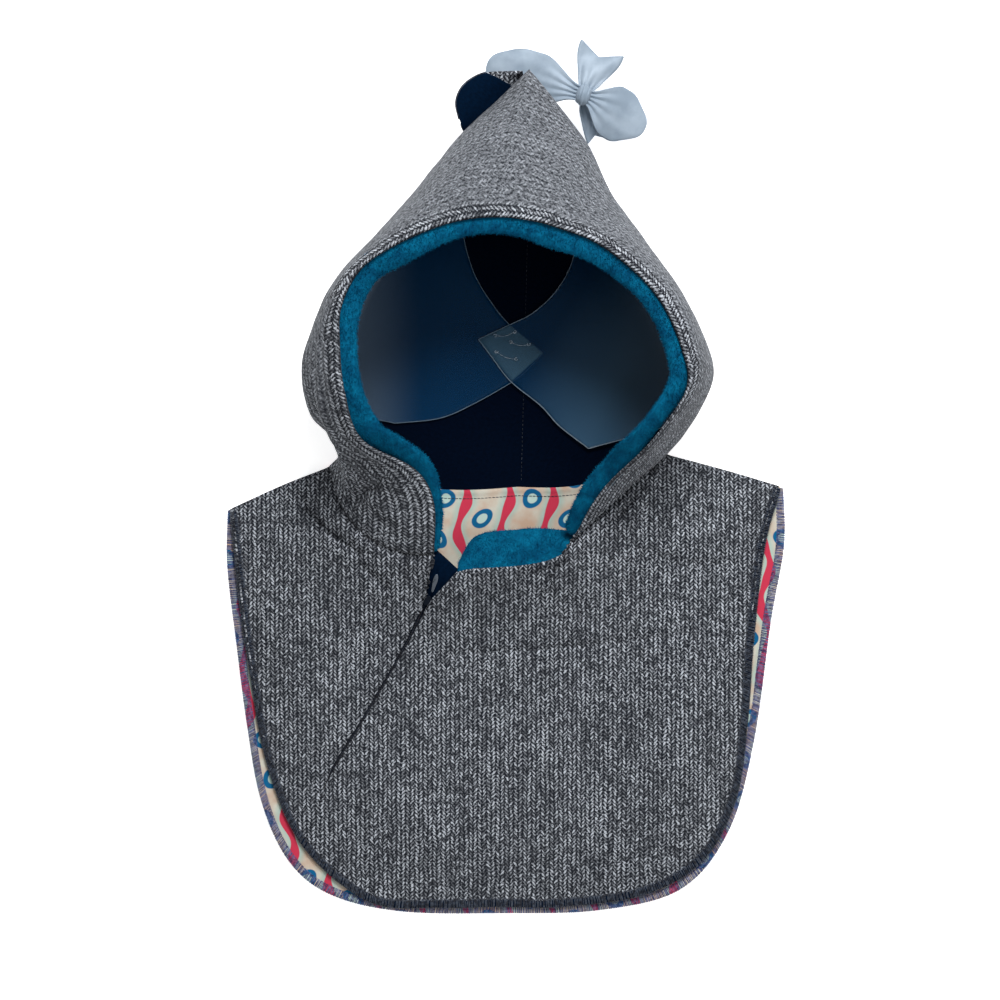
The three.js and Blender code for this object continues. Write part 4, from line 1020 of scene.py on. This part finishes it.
def front_patches():
    """The four lines round each of the front panel's two patches, right and left of the zip."""
    edge = Spline(FRONT_EDGE)
    zip_line, neckline, shoulder_right, shoulder_left = (
        plan(Spline(rows).along(SHARES)) for rows in (ZIP_LINE, NECKLINE, SHOULDER_RIGHT, SHOULDER_LEFT)
    )
    foot = hem(edge, ZIP_FOOT, LEFT_CORNER, UNDER_BAND)[0]
    right_neck, left_neck = (hood_neck(ray) for ray in NECK_RAYS)
    right_hem = hem(edge, 0, FRONT_CORNER, UNDER_BAND)
    left_hem = hem(edge, LEFT_CORNER, len(FRONT_EDGE) - 1, UNDER_BAND)[::-1]
    right = dict(
        top=np.concatenate([
            [ZIP_OPEN_RIGHT], neckline[1:], right_neck, shoulder_right[3:-3], right_hem[:1],
        ]),
        bottom=hem(edge, FRONT_CORNER, ZIP_FOOT, UNDER_BAND)[::-1],
        left=np.concatenate([[ZIP_OPEN_RIGHT], aside(zip_line, -zip_slit()), [foot]]),
        right=right_hem,
    )
    left = dict(
        top=np.concatenate([
            left_hem[:1], shoulder_left[::-1][3:-3], left_neck[::-1], [ZIP_OPEN_LEFT],
        ]),
        bottom=hem(edge, ZIP_FOOT, LEFT_CORNER, UNDER_BAND)[::-1],
        left=left_hem,
        right=np.concatenate([[ZIP_OPEN_LEFT], aside(zip_line, zip_slit()), [foot]]),
    )
    return right, left


def make_front_panel():
    """The front of the bib, in one patch on either side of the zip."""
    sizes = (
        ("right", 130, ["front_panel"], (0.30, 0.26), 0.0555),
        ("left", 200, [], (0.13, 0.23), 0.0162),
    )
    for (side, rows, nodes, flat, area), lines in zip(sizes, front_patches()):
        def place(s, t, lines=lines):
            points = patch(s, 1 - t, **lines)
            return np.column_stack([points, front_top(points[:, 0], points[:, 1])])

        part = cloth_grid("bib_front_" + side, 150, rows, place)
        solidify(dress(part, BIB_CLOTH, "herringbone_cloth", *nodes), CLOTH)


make_front_panel()


EDGE_SHARES = np.linspace(0, 1, 700)


def band_point(edge, s, turn, base, grow=0.0):
    """A point on an oversewn edge's band: s along it, and turn round its section from its inner side over its
    top. It stands off the band by what it is grown."""
    line = plan(edge.along(EDGE_SHARES))
    at = along(line, s)
    inward = along(aside(line, 1) - line, s)
    ends = np.sqrt(np.clip(1 - (1 - np.clip(np.minimum(s, 1 - s) / 0.004, 0, 1)) ** 2, 0, 1))
    wide, high = (
        half + (half + grow) * np.sign(swing) * np.abs(swing) ** squareness * ends
        for half, swing, squareness in (
            (EDGE_WIDTH / 2, np.cos(turn), 0.7), (EDGE_THICK / 2, np.sin(turn), 0.8),
        )
    )
    points = at + unit(inward) * wide[:, None]
    return np.column_stack([points, base(at[:, 0], at[:, 1]) + high])


def make_edge(name, rows, base, band_material, thread, slot, node, spacing, radius, seed):
    """An oversewn edge: the edge's folded cloth, threads over it, and a looped chain along its inner side."""
    loop = 2.2                    # mm from loop to loop of the chain, each of so many points
    loop_points = 6
    edge = Spline(rows)
    line = plan(edge.along(EDGE_SHARES))
    length = np.linalg.norm(np.diff(line, axis=0), axis=1).sum()
    wobble = np.random.default_rng(seed)

    def place(s, t):
        return band_point(edge, s, t * 2 * math.pi, base)

    band = cloth_grid(name + "_band", 420, 12, place, lambda s, t: np.stack([t * 14, s * length], -1))
    dress(band, *band_material, node)
    count = int(length / spacing)
    starts = (np.arange(count) + 0.5 + wobble.uniform(-0.25, 0.25, count)) / count
    steps = np.linspace(0, 1, 7)
    leans = wobble.uniform(0.1, 0.9, count) / length
    s = np.clip(starts[:, None] + steps * leans[:, None], 0.002, 0.998)
    turn = np.broadcast_to(math.pi * (0.02 + 0.96 * steps), s.shape)
    over = band_point(edge, s.ravel(), turn.ravel(), base, radius * 0.6).reshape(count, len(steps), 3)
    dress(threads(name + "_threads", over, radius), thread, slot)
    s = np.linspace(0.003, 0.997, int(length / loop) * loop_points)
    swing = 0.34 + 0.16 * np.sin(np.arange(len(s)) * 2 * math.pi / loop_points)
    chain = band_point(edge, s, swing * math.pi * 0.5, base, radius * 1.6)
    dress(threads(name + "_chain", chain[None], radius), thread, slot)


make_edge("bib_front_edge", FRONT_EDGE, lambda x, y: front_underside(x, y) - 0.5, (FLAP_CLOTH, "edge_thread"),
          NAVY_THREAD, "edge_thread", "front_edge_stitching", spacing=0.95, radius=0.3, seed=21)
make_edge("bib_back_edge", BACK_EDGE, lambda x, y: 0 * x + 0.1, (PRINT, "printed_lining"),
          BLUE_THREAD, "edge_thread", "back_edge_stitching", spacing=0.66, radius=0.22, seed=22)


def back_heel(ray, gap):
    """The edge of the bib's back where one of the hood's neck seams lies on the floor, from the back seam
    outwards. It stops short of the seam by the gap, and by half a millimetre or more at its outer end."""
    v = np.linspace(1, SIDE_V, 40)
    points = plan(hood_surface(ray, v))
    points[:, 1] -= np.interp(v, [0.54, 0.66], [max(gap, 0.5), gap])
    return points


def back_lines(gap, inward):
    """The four lines round a layer of the bib's back."""
    edge = Spline(BACK_EDGE)
    first, last = BACK_CORNERS
    right_heel, left_heel = (back_heel(ray, gap) for ray in NECK_RAYS)
    right_hem = hem(edge, 0, first, inward)
    left_hem = hem(edge, last, len(BACK_EDGE) - 1, inward)[::-1]
    shoulder_right, shoulder_left = (
        plan(Spline(rows).along(SHARES)) for rows in (SHOULDER_RIGHT, SHOULDER_LEFT)
    )
    return dict(
        top=np.concatenate([
            left_hem[:1], shoulder_left[::-1][4:-4], left_heel[::-1], right_heel[1:], shoulder_right[4:-4],
            right_hem[:1],
        ]),
        bottom=hem(edge, first, last, inward)[::-1],
        left=left_hem,
        right=right_hem,
    )


def make_back_panel():
    """The back of the bib, and its printed lining, which laps on to the hood's."""
    cloth_lines, lining_lines = back_lines(0.5, UNDER_BAND), back_lines(-PRINT_LAP, UNDER_BAND + 0.4)
    heels = np.concatenate([along(back_heel(ray, -PRINT_LAP), np.linspace(0, 1, 400)) for ray in NECK_RAYS])

    def outside(s, t):
        points = patch(s, 1 - t, **cloth_lines)
        return np.column_stack([points, np.zeros(len(points))])

    def inside(s, t):
        points = patch(s, 1 - t, **lining_lines)
        waves = ripple(np.column_stack([points, points[:, 0] * 0]), 22, 7) * 0.25
        lapped = 1.7 * smooth(1 - nearest(heels, points[:, 0], points[:, 1]) / 3)
        return np.column_stack([points, PRINT_TOP + waves + lapped])

    back = cloth_grid("bib_back", 120, 90, outside, flip=True)
    solidify(dress(back, BIB_CLOTH, "herringbone_cloth", "back_panel"), BACK_CLOTH)
    lining = cloth_grid("bib_back_lining", 140, 100, inside)
    solidify(dress(lining, PRINT, "printed_lining", "back_lining"), thickness=0.5)

    # Stitches along the top of the print, where it is sewn to the hood's lining
    x = np.arange(-62, 92, 2.3)
    right_heel, left_heel = (back_heel(ray, 3.4) for ray in NECK_RAYS)
    y = np.interp(x, *np.concatenate([left_heel[::-1], right_heel[1:]]).T)
    stitches = stitched(np.column_stack([x, y, 0 * x + PRINT_TOP + 0.4]), (0.8, 0), 0.25)
    dress(threads("print_top_stitches", stitches, radius=0.2), NAVY_THREAD, "edge_thread")


make_back_panel()


def make_tongue():
    """The plush facing of the neckline, hanging into the neck. Its right end reaches on under the hood."""
    top, foot = (
        Spline(rows[:-1] + [end]).along(np.linspace(0, 1, 60))
        for rows, end in ((NECKLINE, (43.5, -43.5, 41.5)), (FACING_EDGE, (44.5, -35.0, 31)))
    )
    top += (0, -1.6, -2.7)

    def place(s, t):
        upper, lower = along(top, s), along(foot, s)
        points = upper + (lower - upper) * t[:, None]
        points[:, 2] += 1.5 * np.sin(math.pi * t) + 0.8 * np.sin(9 * s + 2) * t
        return points

    tongue = cloth_grid("neck_tongue", 60, 24, place, laid(80, 25))
    solidify(dress(tongue, TEAL_PLUSH, "teal_plush", "neck_facing"), TONGUE, offset=0)
    tufts = pile("neck_tongue_pile", tongue, count=9000, length=2.6, radius=0.24, lean=0.4, seed=12)
    dress(tufts, TEAL_PLUSH, "teal_plush")


make_tongue()


# The zip

def make_zip():
    """The closed part of the zip: a tape on either side, and its coil."""
    line = plan(Spline(ZIP_LINE).along(np.linspace(0, 1, 300)))
    for name, side in (("zip_tape_left", 1), ("zip_tape_right", -1)):
        def place(s, t, side=side):
            at = along(line, s)
            out = along(aside(line, 1) - line, s) * side
            points = at + out * (0.05 + 6 * t)[:, None]
            return np.column_stack([points, front_underside(at[:, 0], at[:, 1]) - 1.2 + 0 * t])

        tape = cloth_grid(name, 60, 4, place, lambda s, t: np.stack([t * 7, s * 130], -1), flip=side > 0)
        nodes = ["zip_tape"] if side > 0 else []
        solidify(dress(tape, FLAP_CLOTH, "navy_lining", *nodes), TAPE)
    turns = 105
    angle = np.linspace(0, turns * 2 * math.pi, turns * 8)
    share = np.linspace(0.01, 0.99, len(angle))
    at = along(line, share)
    out = along(aside(line, 1) - line, share)
    height = front_underside(at[:, 0], at[:, 1]) - 0.6 + 0.45 * np.cos(angle)
    coil = np.column_stack([at + out * (0.7 * np.sin(angle))[:, None], height])
    dress(threads("zip_coil", coil[None], radius=0.22), DARK_THREAD, "edge_thread", "zip_teeth")


make_zip()

# The flap's corners, with two at the foot of its right side
FLAP = [(-46.5, -41.0), (-25.5, -60.2), (-37.0, -73), (-46.5, -83), (-56.5, -81)]


def make_flap():
    """Navy cloth under the open top of the zip."""
    corners = ((FLAP[0], FLAP[1]), (FLAP[4], FLAP[3]), (FLAP[0], FLAP[4]), FLAP[1:4])
    top, bottom, left, right = (along(line, SHARES) for line in corners)

    def place(s, t):
        points = patch(s, 1 - t, top, bottom, left, right)
        x, y = points[:, 0], points[:, 1]
        folds = 0.5 * np.sin((x * 0.9 + y * 0.35) * 0.55)
        sunk = 3 * smooth((t - 0.5) * 2) * smooth((1 - s) * 1.5)
        folds = folds * smooth((1 - t) * 3) * 0.6
        return np.column_stack([points, front_underside(x, y) - 0.6 - sunk + folds])

    flap = cloth_grid("zip_open_flap", 40, 40, place)
    solidify(dress(flap, FLAP_CLOTH, "navy_lining", "zip_flap"), LINING)


make_flap()


def plate(name, start, end, half_widths, lift, thickness):
    """A small cast plate over the front panel, with half-widths along its line, and its edges rounded."""
    start, end = np.array(start), np.array(end)
    ahead = end - start
    left = np.array([-ahead[1], ahead[0]]) / np.hypot(*ahead)
    widths = Spline([[w] for w in half_widths])

    def place(s, t):
        half = widths.at(t * widths.last)[:, 0] * np.sqrt(np.clip(1 - (2 * t - 1) ** 12, 0, 1))
        points = start + ahead * t[:, None] + left * ((2 * s - 1) * half)[:, None]
        middle = (start + end)[:, None] / 2
        return np.column_stack([points, front_underside(*middle) + CLOTH + lift + 0 * s])

    piece = cloth_grid(name, 10, 16, place, flip=True)
    solidify(piece, thickness, 1)
    rounded = piece.modifiers.new("rounded", "BEVEL")
    rounded.width = 0.3 * MM
    rounded.segments = 2
    return piece


slider = plate("zip_slider_body", (-46.0, -74.2), (-49.2, -79.6), [0.9, 1.7, 1.8, 1.2],
               lift=-0.5, thickness=1.8)
dress(slider, SLIDER_METAL, "zip_metal", "zip_slider")
pull = plate("zip_pull_tag", (-44.6, -71.8), (-41.6, -60.6), [0.7, 0.9, 1.3, 1.4, 0.8],
             lift=-1.2, thickness=1)
dress(pull, PULL_METAL, "zip_metal", "zip_pull")


# The tab behind the point

TAB_FOLD = 0.34               # share of the tab, from the point, where its outside shows
TAB_TUCK = 0.2                # how far it starts under the hood, as a share of its width
TAB_HEM = 0.03                # how far its lining stands out past its outside, likewise


def tab_height(t):
    """The tab stands on edge and arches over from its root to its brim."""
    return 33 + 4 * np.sin(2.5 * t)


def make_tab():
    """The tab's navy inside, its herringbone outside, and the piping round its brim."""
    root, brim = Spline(TAB_ROOT), Spline(TAB_BRIM)

    def tab(depth, first, width):
        def place(s, t):
            s, t = first + (1 - first) * s, t * width - TAB_TUCK
            inner, outer = root.at(s * root.last), brim.at(s * brim.last)
            points = inner + (outer - inner) * t[:, None]
            return np.column_stack([points, tab_height(t) - depth])
        return place

    width = 1 + TAB_TUCK
    lining = cloth_grid("tab_inside", 40, 16, tab(-0.2, TAB_FOLD, width + TAB_HEM), laid(60, 20), flip=True)
    solidify(dress(lining, FLAP_CLOTH, "navy_lining", "tab_lining"), thickness=0.6)
    outside = cloth_grid("tab_outside", 40, 16, tab(0.8, 0.0, width), flip=True)
    solidify(dress(outside, BIB_CLOTH, "herringbone_cloth", "tab_cloth"), thickness=1.2)
    s = np.linspace(TAB_FOLD, 1, 60)
    rim = np.column_stack([brim.at(s * brim.last), np.full(60, tab_height(1) - 0.3)])
    dress(threads("tab_edge_piping", rim[None], radius=0.7, sides=6), NAVY_THREAD, "edge_thread")


make_tab()


# The bow

BOW_ROOT = 2.5                # where the bow's loops and tails start, inside the knot


def bow_point(turn, ahead, across, height):
    """A point of the bow, ahead of its knot in a direction in degrees, and across that."""
    angle = math.radians(turn)
    return np.stack([
        KNOT[0] + ahead * math.cos(angle) - across * math.sin(angle),
        KNOT[1] + ahead * math.sin(angle) + across * math.cos(angle),
        KNOT[2] + height,
    ], -1)


def bow_piece(name, columns, place, size, edges, radius):
    """One loop or tail of the bow: its cloth, and the hems along its edges."""
    piece = cloth_grid(name + "_cloth", columns, 24, place, laid(*size))
    solidify(dress(piece, SILVER_CLOTH, "reflective_cloth", name), RIBBON, offset=0)
    edge_name, paths = edges
    dress(threads(name + edge_name, paths, radius, sides=6), SILVER_CLOTH, "reflective_cloth")


def make_loop(name, turn, reach, narrow, wide, fall, lift):
    """A loop: out from the knot on its under side and back on its upper side, wide and puffed at its end."""
    half_round = 0.95 * math.pi

    def place(s, t):
        angle = half_round * (2 * s - 1)
        end = math.cos(half_round)
        out = np.maximum((np.cos(angle) - end) / (1 - end), 0)
        across = t - 0.5
        ahead = BOW_ROOT + (reach - BOW_ROOT) * out**0.9 - 0.3 * wide * np.abs(2 * across) ** 2.6 * out
        width = narrow - 3 * (1 - smooth(out * 4)) + (wide - narrow) * smooth(out * 1.9)
        width *= 1 - 0.3 * np.clip((out - 0.7) / 0.3, 0, 1) ** 2
        puff = 1.7 * np.sin(angle) * (1 - (2 * across) ** 2) * smooth(out * 2) * smooth((1.02 - out) * 3)
        gathers = 0.8 * np.cos(across * 26) * np.exp(-3.2 * out)
        height = fall * smooth(out * 1.3) + lift * np.sin(angle) * (0.55 + 0.45 * out) + puff + gathers
        return bow_point(turn, ahead, width * across, height)

    edges = np.stack([place(np.linspace(0.02, 0.98, 90), np.full(90, side)) for side in (0.02, 0.98)])
    bow_piece(name, 96, place, (120, 30), ("_edges", edges), 0.55)


def make_tail(name, turn, reach, narrow, wide, start, fall, notch):
    """A tail: gathered at the knot, wavy, and notched at its end."""
    def place(s, t):
        across = t - 0.5
        cut = s**3 * notch
        ahead = BOW_ROOT + (reach - BOW_ROOT) * s - cut * (1 - 2 * np.abs(across))
        width = narrow - 3 * (1 - smooth(s * 4)) + (wide - narrow) * smooth(s * 1.1)
        gathers = 0.6 * np.cos(across * 24) * np.exp(-3 * s)
        height = start + fall * s + 1.2 * np.sin(6 * across + 4 * s) + gathers
        return bow_point(turn, ahead, width * across, height)

    around = np.concatenate([
        np.column_stack([np.linspace(0.05, 1, 30), np.zeros(30)]),
        np.column_stack([np.ones(28), np.linspace(0.02, 0.98, 28)]),
        np.column_stack([np.linspace(1, 0.05, 30), np.ones(30)]),
    ])
    hem_line = place(around[:, 0], around[:, 1])[None]
    bow_piece(name, 40, place, (40, 30), ("_hem", hem_line), 0.5)


for loop_name, traits in LOOPS.items():
    make_loop(loop_name, **traits)
for tail_name, traits in TAILS.items():
    make_tail(tail_name, **traits)


def make_knot():
    """The bow's knot: a band of cloth pulled round the gathered middle, creased along its way round."""
    turn = LOOPS["bow_loop_left"]["turn"]
    axis = math.radians(turn)
    half_length, half_height = 4.7, 5.9
    bm = bmesh.new()
    bmesh.ops.create_uvsphere(bm, u_segments=64, v_segments=32, radius=1)
    for vert in bm.verts:
        x, y, z = vert.co
        ahead = x * math.cos(axis) + y * math.sin(axis)
        across = y * math.cos(axis) - x * math.sin(axis)
        creases = 1 + 0.05 * math.cos(ahead * 11) + 0.03 * math.sin(ahead * 19 + across * 2)
        ahead = math.copysign(abs(ahead) ** 0.75, ahead) * half_length
        vert.co = to_frame(bow_point(turn, ahead, across * KNOT_RADIUS * creases, z * half_height * creases))
    dress(finish_mesh("bow_knot_cloth", bm), SILVER_CLOTH, "reflective_cloth", "bow_knot")


make_knot()


# The clear former

WALL_SHARE = 0.6              # share of a sheet's length that stands against the hood's side


def former_place(rays, depth, below, above):
    """Points of a sheet of the former: down the inside of the hood's side, and along the floor to its end."""
    inner_end = np.concatenate([Spline(below).along(SHARES), Spline(above).along(SHARES)[1:]])

    def under_cloth(ray, v):
        return hood_surface(ray, v) - hood_normal(ray, v) * depth

    def place(s, t):
        ray = rays[0] + (rays[1] - rays[0]) * s
        side = under_cloth(ray, np.interp(t, [0, WALL_SHARE], [0.3, FLOOR_V]))
        foot = plan(under_cloth(ray, FLOOR_V + 0 * ray))
        share = np.clip((t - WALL_SHARE) / (1 - WALL_SHARE), 0, 1)[:, None]
        floor = foot + (along(inner_end, s) - foot) * share
        floor = np.column_stack([floor, np.full(len(ray), depth)])
        return np.where((t <= WALL_SHARE)[:, None], side, floor)

    return place


def make_former_sheet(name, traits):
    place = former_place(**traits)
    piece = cloth_grid(name + "_sheet", 110, 50, place, laid(100, 120), flip=name == "former_left")
    solidify(dress(piece, CLEAR, "clear_plastic", name), SHEET, offset=0)
    first, last, length = 0 * SHARES, 0 * SHARES + 1, 0.7 * SHARES
    cut = np.concatenate([
        place(first, 0.3 + length), place(SHARES, last)[1:], place(last, 1 - length)[1:],
    ])
    dress(threads(name + "_cut_edge", cut[None], radius=0.34, sides=6), CLEAR_EDGE_HIGHLIGHTS[name], "clear_plastic")


for former_name, traits in FORMERS.items():
    make_former_sheet(former_name, traits)


def make_former_tie():
    """The thread that holds the two sheets together where they cross: three long stitches, knotted at both
    ends."""
    top = FORMERS["former_right"]["depth"] + 0.5
    stitches = [((-5.7, 87.5), (6.2, 89.8)), ((3.9, 83.4), (14.9, 82.0)), ((-5.2, 77.5), (7.2, 72.9))]
    paths, knots = [], []
    t = np.linspace(0, 1, 14)
    for number, ends in enumerate(stitches):
        start, end = np.array(ends)
        line = start + (end - start) * t[:, None]
        bend = np.sin(math.pi * t)
        paths.append(np.column_stack([line[:, 0], line[:, 1] - bend * 1.4, top + bend * 0.5]))
        for x, y in ends:
            turn = 2 * math.pi * (0.8 * t + 0.31 * number + 0.07 * x)
            around = np.column_stack([np.cos(turn) * (0.5 + 0.8 * t), np.sin(turn) * 0.8, 0.4 * t])
            knots.append(around + (x, y, top))
    dress(threads("former_tie", paths, radius=0.11), PALE_THREAD, "edge_thread")
    dress(threads("former_tie_knots", knots, radius=0.2), PALE_THREAD, "edge_thread")


make_former_tie()


# Stage

def make_stage():
    """The floor, just under the hood, the even light all round, and two soft lamps."""
    bm = bmesh.new()
    bmesh.ops.create_grid(bm, x_segments=1, y_segments=1, size=3)
    for vert in bm.verts:
        vert.co.z = -0.2 * MM
    floor = finish_mesh("floor", bm, smooth_faces=False)
    floor.data.materials.append(STUDIO_FLOOR)

    world = bpy.data.worlds.new("studio")
    world.use_nodes = True
    sky = world.node_tree.nodes["Background"]
    sky.inputs["Color"].default_value = linear("#ffffff")
    sky.inputs["Strength"].default_value = 0.3
    bpy.context.scene.world = world
    for name, place, size, power in (("key", (0.25, 1.3, 1.5), 0.7, 37), ("fill", (1.0, -0.4, 1.8), 1.6, 11)):
        light = bpy.data.lights.new(name, "AREA")
        light.shape = "SQUARE"
        light.size = size
        light.energy = power
        lamp = bpy.data.objects.new(name, light)
        lamp.location = place
        lamp.rotation_euler = (-Vector(place)).to_track_quat("-Z", "Y").to_euler()
        bpy.context.scene.collection.objects.link(lamp)


def make_camera():
    data = bpy.data.cameras.new("camera")
    data.sensor_width = 36
    data.lens = data.sensor_width * (CAMERA_HEIGHT - VIEW_HEIGHT) / VIEW_WIDTH
    camera = bpy.data.objects.new("camera", data)
    camera.location = to_frame((*CAMERA_OVER, CAMERA_HEIGHT))
    bpy.context.scene.collection.objects.link(camera)
    bpy.context.scene.camera = camera


make_stage()
make_camera()
bpy.context.scene.view_settings.view_transform = "Standard"

bpy.context.view_layer.update()
